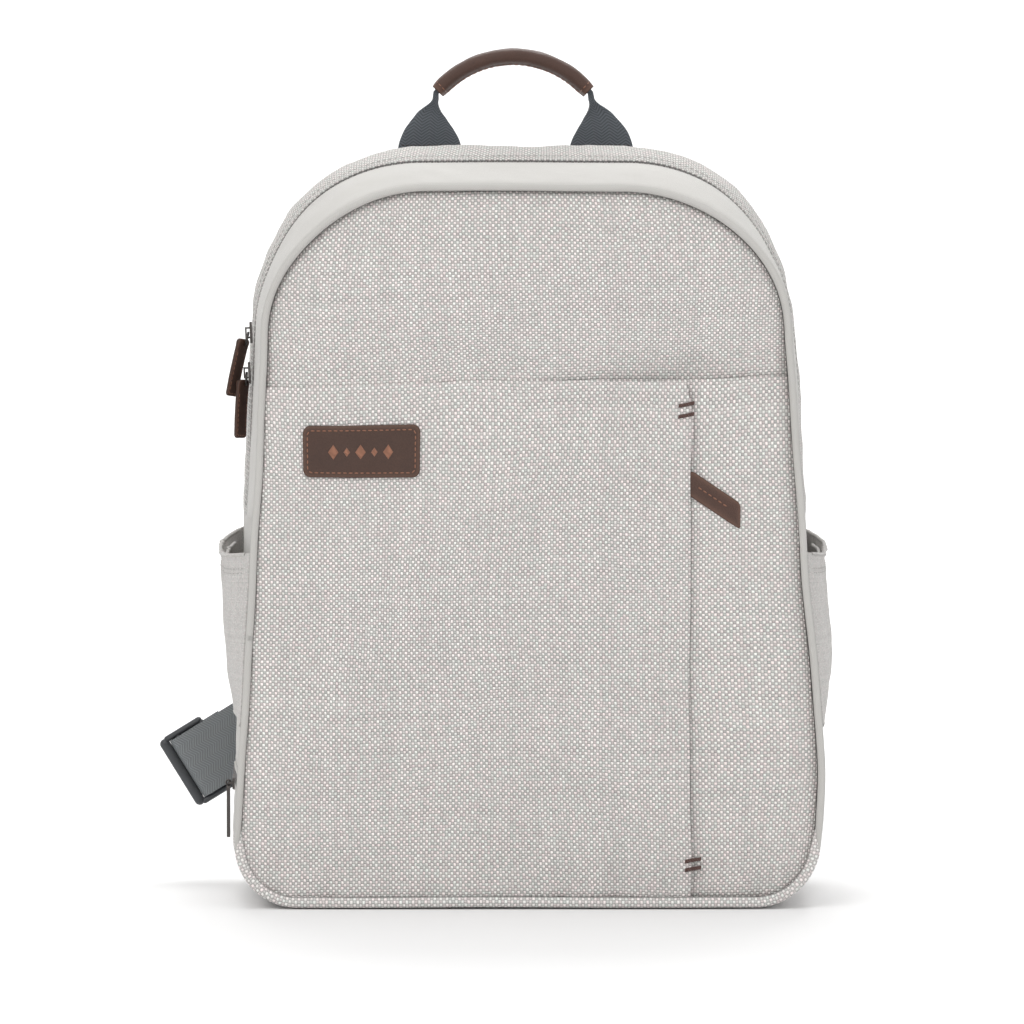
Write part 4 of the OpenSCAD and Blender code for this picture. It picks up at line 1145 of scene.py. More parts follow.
def flat_band(ys, z0, d, ns=60, na=40, nt=24):
    return np.array([lift(depth_station(y), arch2(depth_station(y), d, z0, ns=ns, na=na, nt=nt)) for y in ys])


for name, ys, z0, nodes, bl in (
    ("zip_tape_front", (-20, -16, -12.5, -8.8), 226, ("zip_tape_front_lower", "lid_zip_tape"), GUSSET_BLEND),
    ("zip_tape_back", (-7.2, -3.5, 0, 4), 226, ("zip_tape_rear",), None),
):
    O, I = flat_band(ys, z0, 2.75), flat_band(ys, z0, 3.3)
    o = shell(name, soften(O), soften(I), M["tape"], grid_wv(O))
    keep(o, nodes=nodes, blend=bl)
for name, y, nodes, bl in (
    ("zip_coil_front", -9.35, ("zip_teeth_front_lower", "lid_zip_teeth"), GUSSET_BLEND),
    ("zip_coil_back", -6.65, ("zip_teeth_rear",), None),
):
    s = depth_station(y)
    a = arch2(s, 1.45, 227, ns=80, na=60, nt=30)
    P = lift(s, a)
    up = unit(np.gradient(a, axis=0))
    U = np.stack([-up[:, 1], up[:, 0] * 0, up[:, 0]], 1)
    o = teeth(name, soften(P), U, (0, 1, 0), M["coil"], pitch=1.55, size=(0.58, 1.3, 1.0))
    keep(o, nodes=nodes, blend=bl)
# Folded fabric edges beside the coil, with a line of stitching each.
for name, y, bl in (("zip_lip_front", -12.6, GUSSET_BLEND), ("zip_lip_back", -3.6, None)):
    s = depth_station(y)
    a = arch2(s, 0.3, 216, ns=60, na=46, nt=26)
    P = soften(lift(s, a))
    up = unit(np.gradient(a, axis=0))
    U = np.stack([-up[:, 1], up[:, 0] * 0, up[:, 0]], 1)
    o = round_tube(name, P - U * 0.5, 0.8, M["twill"] if bl else M["rear"], up=(0, 1, 0), k=8)
    keep(o, blend=bl)
    s2 = depth_station(y + (-2.6 if bl else 2.8))
    a2 = arch2(s2, -0.75, 218, ns=60, na=46, nt=26)
    o = stitches(name + "_stitches", soften(lift(s2, a2)), U, M["thread"], pitch=3.4, length=2.4, r=0.24, sink=0.05)
    keep(o, blend=bl)

# ---------------------------------------------------------------- side pockets
def pocket_sheet(u, z, d, sg):
    """The pocket's cloth: it follows the CAD's bulge, gathers at its elastic rim and sags a little fuller on the right."""
    u, z = np.broadcast_arrays(u, z)
    y0 = -82 + LEAN * z + 1.6
    y = (50 + y0) / 2 + u * (50 - y0) / 2
    t = np.maximum(0, (z - 100) / 100)
    b = 1 - np.abs(u) ** 3.2
    full = (15 if sg > 0 else 12.3) * b * t**0.75
    if sg > 0:
        full = full - 4.2 * b * np.exp(-((200 - z) / 34.0) ** 2)
    rim = np.exp(-((200 - z) / 15.0) ** 2)
    low = np.exp(-((200 - z) / 46.0) ** 1.5)
    P = np.stack([y, z, y * 0], -1).reshape(-1, 3)
    gather = np.sin(y * 0.62 + 2.2 * np.sin(y * 0.09 + sg) + 0.015 * (200 - z) * sg) * (0.55 + 0.45 * np.sin(y * 0.17 + 1.3 * sg))
    slow = field(P * arr(1, 0.55, 1), 34, 61 + (sg > 0), 3).reshape(u.shape)
    x = surf_x(y, z) + 0.4 + d + full
    x = x + (0.75 * gather * low + 1.1 * slow * (1 - 0.5 * rim)) * b * step(0, 0.25, t)
    if sg > 0:
        x = x + 3.4 * b * bell(z, 128, 26)
    else:
        x = x + 0.8 * b * bell(z, 150, 30)
    x = x - 1.0 * b * np.exp(-((194 - z) / 3.4) ** 2)
    # The rim hangs lower in the middle and in front than at the back.
    z = z + t**3 * (-6 * (1 - u**2) + 4 * u)
    return np.stack([sg * x, y, z], -1)


for sg, node in ((-1, "side_pocket_left"), (1, "side_pocket_right")):
    uu = np.sin(np.linspace(-1, 1, 130) * math.pi / 2) * 0.35 + np.linspace(-1, 1, 130) * 0.65
    zz = dense_ends(100, 200, 64, 0.6, 0.8)
    U, Z = np.meshgrid(uu, zz)
    O = pocket_sheet(U, Z, 2.0, sg)
    I = pocket_sheet(U, Z, 0.7, sg)
    w = grid_wv(O)
    roll = np.exp(-((200 - Z) / 0.9))
    O[..., 0] -= sg * 0.5 * roll
    o = shell(node + "_cloth", soften(O), soften(I), M["melange"], w)
    keep(o, nodes=node)
    flat = (float(np.linalg.norm(np.diff(O[32], axis=0), axis=1).sum()) * MM, float(np.linalg.norm(np.diff(O[:, 65], axis=0), axis=1).sum()) * MM)
    area = float(np.linalg.norm(np.cross(O[1:, :-1] - O[:-1, :-1], O[:-1, 1:] - O[:-1, :-1]), axis=2).sum()) * MM * MM
    # Rolled rim over the elastic, the elastic itself and the hem's stitching.
    u1 = np.linspace(-0.93, 0.93, 120)
    P = pocket_sheet(u1, np.full(u1.shape, 199.2), 1.35, sg)
    o = round_tube(node + "_rim", soften(P), 1.15, M["melange"], up=(0, 0, 1), k=8)
    keep(o)
    P = pocket_sheet(np.linspace(-0.72, 0.72, 60), np.full(60, 195.0), -0.9, sg)
    o = round_tube(node + "_elastic", soften(P), 1.0, M["elastic"], up=(0, 0, 1), k=8)
    keep(o, nodes="pocket_elastics")
    for k, zh in enumerate((190.4, 187.6)):
        P = pocket_sheet(u1, np.full(u1.shape, zh), 2.05, sg)
        o = stitches(f"{node}_hem_stitches_{k}", soften(P), (sg, 0, 0.1), M["thread"], pitch=3.2, length=2.2, r=0.23)
        keep(o)
    # Bound seam along the pocket's foot.
    P = pocket_sheet(np.linspace(-1, 1, 100), np.full(100, 100.6), 1.2, sg)
    o = round_tube(node + "_foot_seam", soften(P), 1.3, M["twill"], up=(0, 0, 1), k=8)
    keep(o)

# ---------------------------------------------------------------- lower compartment zip
def side_run(y, z, h):
    y, z = np.broadcast_arrays(y, z)
    return np.stack([-surf_x(y, z) - h, y, z], -1)


yy = np.linspace(-72, 20, 60)
for k, (z0, z1) in enumerate(((60.0, 67.7), (68.3, 76.0))):
    Y, Z = np.meshgrid(yy, np.linspace(z0, z1, 6))
    o = shell(f"base_zip_tape_{k}", soften(side_run(Y, Z, 0.95)), soften(side_run(Y, Z, 0.15)), M["twill"], np.stack([Y, Z], -1))
    keep(o, nodes="base_zip_tapes")
    P = soften(side_run(yy, np.full(60, (66.8, 69.2)[k]), 1.55))
    o = teeth(f"base_zip_coil_{k}", P, (-1, 0, 0), (0, 0, 1), M["coil"], pitch=1.55, size=(0.58, 1.1, 0.62))
    keep(o, nodes="base_zip_teeth")
    P = soften(side_run(yy, np.full(60, (61.6, 74.4)[k]), 1.0))
    o = stitches(f"base_zip_stitches_{k}", P, (-1, 0, 0), M["thread"], pitch=3.2, length=2.2, r=0.24)
    keep(o)
    o = round_tube(f"base_zip_lip_{k}", soften(side_run(yy, np.full(60, (64.2, 71.8)[k]), 1.0)), 0.75, M["twill"], up=(-1, 0, 0), k=8)
    keep(o)

# ---------------------------------------------------------------- leather pull tabs
def pull_tab(name, at, T, S, N, length, a, thick, body, node, thread, cut=0.0, border=True):
    """A leather tab folded round its ring. T runs down the tab, S across it and N out of its face; at is its upper end."""
    T, S, N = (unit(arr(*q)) for q in (T, S, N))
    at = arr(*at)

    def place(x, z, h):
        # z runs from -length/2 at the foot to length/2 at the ring; the loop at the ring is a little thicker.
        k = length / 2 - z
        bow = 0.35 * np.sin(np.pi * np.clip(k / length, 0, 1))
        fat = 1 + 0.35 * np.exp(-((k - 1.6) / 2.2) ** 2)
        k = k + cut * x * step(0.35, 1.0, k / length)
        return at + k[..., None] * T + x[..., None] * S + ((h - thick / 2) * fat + bow)[..., None] * N

    o = leather_plate(name, a, length / 2, 2.2, thick, place, M["leather"], n=(44, 18), soft=0.7, wrinkle=0.05, seed=len(name))
    keep(o, body, nodes=node)
    if not border:
        zz_ = np.linspace(length / 2 - 8, -length / 2 + 9, 40)
        for side in (-1, 1):
            P = place(zz_ * 0 + 0.4, zz_, np.full(40, thick / 2 + side * thick / 2))
            keep(stitches(f"{name}_stitches_{'a' if side > 0 else 'b'}", P, N * side, M[thread], pitch=3.0, length=2.2, r=0.36), body)
        return o
    q = rounded_loop(a - 1.5, length / 2 - 1.6, 1.2)
    q = q[q[:, 1] < length / 2 - 7.5]
    i = int(np.argmax(np.linalg.norm(np.diff(q, axis=0), axis=1)))
    if np.linalg.norm(np.diff(q, axis=0), axis=1)[i] > 3:
        q = np.vstack([q[i + 1 :], q[: i + 1]])
    for side in (-1, 1):
        P = place(q[:, 0], q[:, 1], np.full(len(q), thick / 2 + side * thick / 2))
        s = stitches(f"{name}_stitches_{'a' if side > 0 else 'b'}", P, N * side, M[thread], pitch=2.7, length=1.9, r=0.25)
        keep(s, body)
    return o


def swung(pivot, ang, dx, dz):
    """A point given in a pull's own frame, where z hangs down before it swings out by ang degrees about Y."""
    c, s = math.cos(math.radians(ang)), math.sin(math.radians(ang))
    return (pivot[0] + dx * c + dz * s, pivot[1], pivot[2] - dx * s + dz * c)


for name, pv, ang, body in (
    ("main_pull_upper", (-155.027, -8, 316.5), 12.4, "upper_pull"),
    ("main_pull_lower", (-155.967, -8, 294.0), 3.2, "lower_pull"),
):
    c, s = math.cos(math.radians(ang)), math.sin(math.radians(ang))
    at = swung(pv, ang, -1.8, -4.0)
    tw = math.radians(27)
    S = arr(0, 1, 0) * math.cos(tw) + arr(c, 0, -s) * math.sin(tw)
    pull_tab(name + "_leather", at, (-s, 0, -c), tuple(S), tuple(np.cross(S, arr(-s, 0, -c))), 33, 6.0, 1.8, body, name + "_tab", "copper")

a = math.radians(-34)
lean = math.atan(LEAN)
pz = arr(86, -82 + LEAN * 238, 238)
fx, fz, fn = arr(1, 0, 0), arr(0, math.sin(lean), math.cos(lean)), arr(0, -math.cos(lean), math.sin(lean))
T = fx * math.cos(a) + fz * math.sin(a)
S = -fx * math.sin(a) + fz * math.cos(a)
o = pull_tab("pocket_pull_leather", tuple(pz + T * 3.2 + fn * 0.95), tuple(T), tuple(S), tuple(fn), 37, 6.2, 1.7, "front_pocket_pull", "pocket_pull_tab", "copper", cut=-0.674, border=False)

# ---------------------------------------------------------------- handle
HC, HR, HH = arr(0, 58, 412.2), 61.5, math.radians(47.6)
n = 90
ang = np.linspace(math.pi / 2 + HH, math.pi / 2 - HH, n)
k = 44
th = np.arange(k) * 2 * np.pi / k
ct, sn = np.cos(th), np.sin(th)
sup = (np.abs(ct) ** 2.6 + np.abs(sn) ** 2.6) ** (-1 / 2.6)
su, sv = sup * ct, sup * sn  # su across (Y), sv radial
rings_o, rings_i = [], []
for i, q in enumerate(ang):
    t = i / (n - 1)
    U = arr(math.cos(q), 0, math.sin(q))
    C = HC + U * HR
    endlip = 1 - 0.10 * math.exp(-min(t, 1 - t) * 60)
    w = 8.1 * endlip * (1 + 0.015 * math.sin(t * 19))
    hgt = 4.5 * endlip
    # The folded seam: two edges meet along the underside in a shallow ridge.
    under = np.where(sv < 0, 1.0, 0.0)
    seam = under * (0.85 * np.exp(-((su * 8.1) / 2.0) ** 2) - 0.9 * np.exp(-((su * 8.1) / 0.45) ** 2))
    rings_o.append(C + np.outer(su * w, (0, 1, 0)) + np.outer(sv * hgt - seam, U))
    rings_i.append(C + np.outer(su * 5.0, (0, 1, 0)) + np.outer(sv * 2.0, U))
O, I = np.array(rings_o), np.array(rings_i)


def handle_x(P):
    """The handle sits a little left of the middle and its sleeve draws the two legs together."""
    P = np.array(P, float)
    w_ = step(428, 456, P[..., 2])
    P[..., 0] = P[..., 0] * (1 - 0.045 * w_) - 4.6 - 1.4 * w_
    return P


O, I = handle_x(O), handle_x(I)
O = O + 0.16 * field(O.reshape(-1, 3), 16, 71, 3).reshape(O.shape[:2])[..., None] * unit(O - O.mean(1, keepdims=True))
t = np.linspace(0, 1, n)
wear = np.broadcast_to(np.exp(-np.minimum(t, 1 - t)[:, None] * 90), (n, k)) + 0.5 * np.exp(-((su * 8.1) / 0.9) ** 2)[None] * (sv < 0)[None]
w = np.stack([np.broadcast_to((ang[0] - ang)[:, None] * HR, (n, k)), np.broadcast_to((th * 6.5)[None], (n, k))], -1)
o = shell("handle_leather", O, I, M["leather"], w, np.clip(wear, 0, 1), wrap=True, sharp=45)
keep(o, "handle", nodes="handle_sleeve")
for j, yo in enumerate((-4.6, 4.6)):
    aa = np.linspace(ang[3], ang[-4], 120)
    P = np.stack([HC + arr(math.cos(q), 0, math.sin(q)) * (HR - 4.62) + arr(0, yo * 0.55, 0) for q in aa])
    U = np.stack([-arr(math.cos(q), 0, math.sin(q)) for q in aa])
    keep(stitches(f"handle_stitches_{j}", handle_x(P), U, M["copper"], pitch=3.4, length=2.5, r=0.3, sink=-0.15), "handle")
for j, (e, d) in enumerate(((0, 1), (n - 1, -1))):
    # End seam of the sleeve.
    P = O[e + 3 * d]
    P = np.vstack([P, P[:1]])
    U = unit(P - P[:-1].mean(0))
    keep(stitches(f"handle_end_stitches_{j}", P, U, M["copper"], pitch=3.0, length=2.0, r=0.26), "handle")

# Webbing: flat where it is sewn into the back seam, folded in as it enters the sleeve.
LEG = [[49.2, 413.5, 18.8, 0.95], [49.2, 418.6, 18.5, 0.9], [49.3, 424, 17.6, 1.0], [49.3, 431, 14.6, 1.5], [48.6, 440, 8.6, 2.0], [46.4, 449, 4.4, 2.0]]
leg = spline(np.array([[q[0], 58.0, q[1], q[2], q[3]] for q in LEG]), 34)
arc = []
for q in np.linspace(math.pi / 2 + HH + 0.02, math.pi / 2 - HH - 0.02, 50):
    arc.append([HR * math.cos(q), 58, HC[2] + HR * math.sin(q), 4.8, 1.7])
path = np.vstack([leg * arr(-1, 1, 1, 1, 1), arc, leg[::-1]])
C = path[:, :3]
T = unit(np.gradient(C, axis=0))
# The wide face turns from facing front, at the foot, to facing out from the arc, inside the sleeve.
foot_w = arr(1, 0, 0)
m = len(path)
turn = np.ones(m)
turn[: len(leg)] = step(0.72, 1.0, np.linspace(0, 1, len(leg)))
turn[-len(leg) :] = turn[: len(leg)][::-1]
k = 40
th = np.arange(k) * 2 * np.pi / k
c4, s4 = np.cos(th), np.sin(th)
sq = (np.abs(c4) ** 8 + np.abs(s4) ** 8) ** (-1 / 8)
rings = []
for i in range(m):
    A = unit(arr(1, 0, 0) - T[i] * T[i][0])
    B = np.cross(T[i], A)
    q = turn[i]
    ha, hb = path[i, 3], path[i, 4]
    # Cross-section: flat and wide in A at the foot; in the sleeve it is narrow in A and wide in B.
    fa = ha * (1 - q) + 1.9 * q if i < len(leg) or i >= m - len(leg) else 1.7
    fb = hb * (1 - q) + 4.7 * q
    fold = 0.5 * math.sin(math.pi * q) * np.sin(3 * th)
    rings.append(C[i] + np.outer(sq * c4 * fa + fold * 0.6, A) + np.outer(sq * s4 * fb + fold, B))
R = handle_x(rings)
L = along(C)
per = along(np.vstack([R[2], R[2][:1]]))[:-1]
w = np.stack([np.broadcast_to(L[:, None], (m, k)), np.broadcast_to((sq * c4)[None] * path[:, 3:4], (m, k))], -1)
o = tube("handle_strap", R, M["handleweb"], w)
keep(o, nodes="handle_webbing", blend=(SHELL, "handle", (0, 58, 416.6), (0, 58, 424)))
for j, sgn in enumerate((-1, 1)):
    # Cross-stitching where each end is sewn down.
    for r_, zz_ in enumerate((420.6, 422.8)):
        P = np.stack([np.linspace(48.8 - 17, 48.8 + 17, 30) * sgn, np.full(30, 57.05), np.full(30, zz_)], 1)
        keep(stitches(f"handle_foot_stitches_{j}_{r_}", handle_x(P), (0, -1, 0), M["darkthread"], pitch=2.4, length=1.8, r=0.24), blend=(SHELL, "handle", (0, 58, 416.6), (0, 58, 424)))


# ---------------------------------------------------------------- padded pieces
def remesh(o, voxel):
    md = o.modifiers.new("remesh", "REMESH")
    md.mode, md.voxel_size, md.use_smooth_shade = "VOXEL", voxel, True
    dg = bpy.context.evaluated_depsgraph_get()
    me = bpy.data.meshes.new_from_object(o.evaluated_get(dg))
    o.modifiers.clear()
    old = o.data
    o.data = me
    bpy.data.meshes.remove(old)


def coords(me):
    c = np.empty(len(me.vertices) * 3)
    me.vertices.foreach_get("co", c)
    return c.reshape(-1, 3)


def inflate(o, pressure, cap, frames_n=18):
    """Swells the piece as cloth under pressure, holding each point within cap metres of where it began."""
    md = o.modifiers.new("cloth", "CLOTH")
    cs = md.settings
    cs.quality = 4
    cs.use_pressure, cs.uniform_pressure_force = True, pressure
    cs.effector_weights.gravity = 0
    cs.tension_stiffness = cs.compression_stiffness = 18
    cs.bending_stiffness = 0.6
    md.point_cache.frame_start, md.point_cache.frame_end = 1, frames_n + 2
    for fr in range(1, frames_n + 1):
        scene.frame_set(fr)
    dg = bpy.context.evaluated_depsgraph_get()
    ev = o.evaluated_get(dg)
    new = coords(ev.data)
    old = coords(o.data)
    o.modifiers.clear()
    d = new - old
    L = np.linalg.norm(d, axis=1, keepdims=True)
    new = old + d * np.minimum(1, cap / np.maximum(L, 1e-9))
    o.data.vertices.foreach_set("co", new.ravel())
    o.data.update()
    scene.frame_set(1)


def pad_piece(name, O, I, mat, weave, shape, pressure=3.0, cap=0.004, fill=0.6, voxel=0.005):
    """A closed sheet turned into a soft pad: remeshed, swelled, subdivided once and then shaped by shape(points in mm)."""
    o = shell(name, O, I, None)
    remesh(o, voxel)
    inflate(o, pressure, cap)
    md = o.modifiers.new("sub", "SUBSURF")
    md.levels = md.render_levels = 1
    dg = bpy.context.evaluated_depsgraph_get()
    me = bpy.data.meshes.new_from_object(o.evaluated_get(dg))
    o.modifiers.clear()
    old = o.data
    o.data = me
    bpy.data.meshes.remove(old)
    V = shape(coords(me) / MM)
    me.vertices.foreach_set("co", (V * MM).ravel())
    w = np.zeros((len(V), 3))
    w[:, :2] = weave(V) * MM
    at = me.attributes.new("wv", "FLOAT_VECTOR", "POINT")
    at.data.foreach_set("vector", w.astype(np.float32).ravel())
    me.polygons.foreach_set("use_smooth", [True] * len(me.polygons))
    me.materials.clear()
    me.materials.append(mat)
    me.update()
    return o


def pad_block(cx, cz, a, b, r, y0, y1, n=(40, 30)):
    zs_ = dense_ends(-b, b, n[0], 0.9, 0.9)
    X, Z = rows(zs_, lambda z: -rounded_x(a, b, r, z), lambda z: rounded_x(a, b, r, z), n[1], 0.6)
    return np.stack([X + cx, np.full(X.shape, y1), Z + cz], -1), np.stack([X + cx, np.full(X.shape, y0), Z + cz], -1)


def pad_shape(cx, cz, a, b, r, lo, hi, channels=()):
    t = np.linspace(0, 2 * np.pi, 120)
    out = np.array([(np.sign(math.cos(q)) * (a - r) + r * math.cos(q), np.sign(math.sin(q)) * (b - r) + r * math.sin(q)) for q in np.r_[t, t[:1]]])

    def f(V):
        V = V.copy()
        e = edge_distance(V[:, 0] - cx, V[:, 2] - cz, out)
        top = V[:, 1] > (lo + hi) / 2
        y = V[:, 1] - lo
        crown = 0.42 + 0.58 * (1 - np.exp(-((e / 11.0) ** 1.3)))
        for zc, dep in channels:
            crown = crown - dep * np.exp(-((V[:, 2] - zc) / 3.2) ** 2) * step(3, 10, e)
        V[:, 1] = lo + np.clip(y, 0, None) * np.where(top, crown, 1)
        V[:, 1] = np.clip(V[:, 1], lo, hi)
        V[:, 1] += 0.25 * field(V, 40, 81, 2) * (V[:, 1] > lo + 1)
        return V

    return f, out


xz = lambda V: V[:, [0, 2]]
for sg, node in ((-1, "left"), (1, "right")):
    O, I = pad_block(sg * 58, 252, 42.5, 93.5, 17, 61.6, 70.5)
    f, out = pad_shape(sg * 58, 252, 44, 95, 18, 61.15, 73.5, channels=((204, 0.3), (252, 0.3), (300, 0.3)))
    o = pad_piece(f"back_pad_{node}", O, I, M["pad"], xz, f)
    keep(o, nodes="back_pads")
    P = np.stack([out[:-1, 0] + sg * 58, np.full(len(out) - 1, 62.6), out[:-1, 1] + 252], 1)
    keep(round_tube(f"back_pad_binding_{node}", P, 1.5, M["binding"], k=8, loop=True))
O, I = pad_block(0, 96, 105, 44, 19, 61.6, 71.0, n=(30, 60))
f, out = pad_shape(0, 96, 107, 46, 20, 61.15, 74.5, channels=())
o = pad_piece("lumbar_cushion", O, I, M["pad"], xz, f)
keep(o, nodes="lumbar_pad")
P = np.stack([out[:-1, 0], np.full(len(out) - 1, 62.6), out[:-1, 1] + 96], 1)
keep(round_tube("lumbar_binding", P, 1.5, M["binding"], k=8, loop=True))

# ---------------------------------------------------------------- shoulder straps
PAD = [[-47.5, 90, 374], [-49, 97.5, 352], [-53, 103, 322], [-60, 106, 288], [-70, 106.5, 252], [-81, 104, 216], [-92, 99.5, 184], [-100, 95, 158]]
HALF = [29, 31, 31, 30.5, 30, 29, 26, 21]
sp = spline(np.array([p + [h] for p, h in zip(PAD, HALF)]), 110)
SC, SH = sp[:, :3], sp[:, 3]
ST_ = unit(np.gradient(SC, axis=0))
SW = unit(arr(1, 0, 0) - ST_ * ST_[:, :1])
SN = np.cross(ST_, SW)
SL = along(SC)


def flip_x(V, sg):
    return V * arr(sg, 1, 1)


def nearest(V):
    i = np.empty(len(V), int)
    for k in range(0, len(V), 4000):
        d = ((V[k : k + 4000, None] - SC[None]) ** 2).sum(2)
        i[k : k + 4000] = d.argmin(1)
    D = V - SC[i]
    u = np.einsum("ij,ij->i", D, SW[i])
    h = np.einsum("ij,ij->i", D, SN[i])
    l = SL[i] + np.einsum("ij,ij->i", D, ST_[i])
    return i, l, u, h


kk = 25
uu = np.sin(np.linspace(-1, 1, kk) * math.pi / 2)
inner = slice(1, -1)
Cc, Ww, Nn, Hh = SC[inner], SW[inner], SN[inner], SH[inner]
tt = 3.4 * (1 - 0.45 * np.abs(uu) ** 4)
O = Cc[:, None] + Ww[:, None] * ((Hh[:, None] - 0.5) * uu)[..., None] + Nn[:, None] * tt[None, :, None]
I = Cc[:, None] + Ww[:, None] * ((Hh[:, None] - 0.5) * uu)[..., None] - Nn[:, None] * tt[None, :, None]


def strap_shape(V):
    i, l, u, h = nearest(V)
    e = np.minimum(SH[i] - np.abs(u), np.minimum(l, SL[-1] - l))
    seam = 0.35 + 0.65 * (1 - np.exp(-np.clip(e, 0, None) / 6.0))
    line = 1 - 0.22 * np.exp(-((e - 8.5) / 1.4) ** 2)
    target = np.clip(h * seam * line, -5.3, 5.3)
    return V + SN[i] * (target - h)[:, None]


strap_w = lambda V: np.stack(nearest(V)[1:3], 1)
o_l = pad_piece("left_strap_cushion", O, I, M["strapcloth"], strap_w, strap_shape, pressure=3.5, cap=0.0022, voxel=0.0026)
me = o_l.data.copy()
me.name = "right_strap_cushion"
V = coords(me) * arr(-1, 1, 1)
me.vertices.foreach_set("co", V.ravel())
me.flip_normals()
o_r = bpy.data.objects.new("right_strap_cushion", me)
scene.collection.objects.link(o_r)
for o, side in ((o_l, "left"), (o_r, "right")):
    keep(o, f"{side}_strap", nodes=f"{side}_strap_pad")
# Binding round each strap pad, its outline followed once.
h = SH - 0.6
left = SC + SW * h[:, None]
right = SC - SW * h[:, None]
def end_arc(i, sgn):
    q = np.linspace(0, math.pi, 16)[1:-1]
    return np.array([SC[i] + SW[i] * h[i] * math.cos(k) + ST_[i] * sgn * 3.0 * math.sin(k) for k in q])
path = np.vstack([left[1:-1], end_arc(-1, 1), right[::-1][1:-1], end_arc(0, -1)[::-1]])
for side, sg in (("left", 1), ("right", -1)):
    P = flip_x(path, sg)
    keep(round_tube(f"{side}_strap_binding", P, 1.7, M["binding"], up=(0, 1, 0), k=8, loop=True), f"{side}_strap")
    # A length of narrow webbing sewn down the middle of the strap's outer face, with a bar of stitching every 60 mm.
    sel = slice(4, -3)
    top = SC + SN * 0
    q = np.arange(len(SC))[sel]
    sgn_out = 1 if (SN[:, 1].mean() > 0) else -1
    Pm = SC[sel] + SN[sel] * sgn_out * 6.0
    keep(ribbon(f"{side}_strap_tape", flip_x(Pm, sg), flip_x(SW[sel], sg), 9.5, 1.1, M["strap"], k=9, lip=0.2), f"{side}_strap")
    for b in (12, 34, 56, 78, 98):
        C = SC[b] + SN[b] * sgn_out * 6.75
        X = np.linspace(-8, 8, 22)
        PP = C + SW[b] * X[:, None]
        n_ = len(X)
        keep(copies(f"{side}_strap_bar_{b}", BEAD[0], BEAD[1], flip_x(PP, sg), flip_x(np.tile(ST_[b] * 1.3, (n_, 1)), sg), flip_x(np.tile(SW[b] * 0.4, (n_, 1)), sg), flip_x(np.tile(SN[b] * 0.35, (n_, 1)), sg), M["darkthread"]), f"{side}_strap")

# Yoke plate and the two necks.
zs_ = dense_ends(-22, 22, 26, 0.9, 0.9)
X, Z = rows(zs_, lambda z: -rounded_x(88, 22, 8, z), lambda z: rounded_x(88, 22, 8, z), 70, 0.7)
t = np.linspace(0, 2 * np.pi, 80)
out = np.array([(np.sign(math.cos(q)) * 80 + 8 * math.cos(q), np.sign(math.sin(q)) * 14 + 8 * math.sin(q)) for q in np.r_[t, t[:1]]])
e = edge_distance(X, Z, out)
O = np.stack([X, 64.2 - 1.6 * np.exp(-e / 1.2) + 0.2 * field(np.stack([X, X * 0, Z], -1).reshape(-1, 3), 30, 90).reshape(X.shape), Z + 378], -1)
I = np.stack([X, np.full(X.shape, 61.1), Z + 378], -1)
keep(shell("yoke_plate", O, I, M["back"], np.stack([X, Z], -1)), nodes="strap_yoke")
q = rounded_loop(84.5, 18.5, 5)
P = np.stack([q[:, 0], np.full(len(q), 64.1), q[:, 1] + 378], 1)
keep(stitches("yoke_stitches", P, (0, 1, 0), M["thread"], pitch=3.2, length=2.3, r=0.26))
neck = spline(arr([-46, 64.6, 391.5], [-46.5, 72.5, 392], [-47, 81, 387], [-47.4, 86.5, 380], [-47.8, 91.5, 370]), 40)
for side, sg in (("left", 1), ("right", -1)):
    P = flip_x(neck, sg)
    o = ribbon(f"{side}_strap_neck", P, (1, 0, 0), 28.6, 4.2, M["back"], k=25, lip=0.5)
    keep(o, blend=(SHELL, f"{side}_strap", (P[8][0], P[8][1], P[8][2]), (P[-6][0], P[-6][1], P[-6][2])))

# ---------------------------------------------------------------- webbing, locks and anchor tabs
ANCHOR = arr(-148, 0, 91)
DL, DR = arr(-0.852, 0, -0.5235), arr(0.25, 0, -0.9682)
UP_L = [[-170.2, 90.6, 72.7], [-160.5, 92.6, 77.8], [-147.5, 94.5, 88], [-133.5, 96, 103.5], [-120, 96.5, 124], [-109, 96, 141], [-103.5, 95.3, 153.5]]
UW_L = [[0.5235, 0, -0.852], [0.55, 0, -0.83], [0.62, 0, -0.78], [0.72, 0, -0.69], [0.83, 0, -0.55], [0.9, 0, -0.42], [0.94, 0, -0.33]]
UP_R = [[-139, 90.6, 63], [-134, 92.8, 73.3], [-127, 95, 90], [-118, 96.5, 109], [-110, 96.5, 128], [-105, 96, 142], [-102, 95.4, 153]]
UW_R = [[0.968, 0, 0.25], [0.975, 0, 0.1], [0.985, 0, -0.15], [0.95, 0, -0.3], [0.94, 0, -0.33], [0.94, 0, -0.33], [0.94, 0, -0.33]]


def low_p(da, a, b):
    return ANCHOR + da * a + arr(0, b, 0)


def low_w(da):
    return arr(-da[2], 0, da[0])


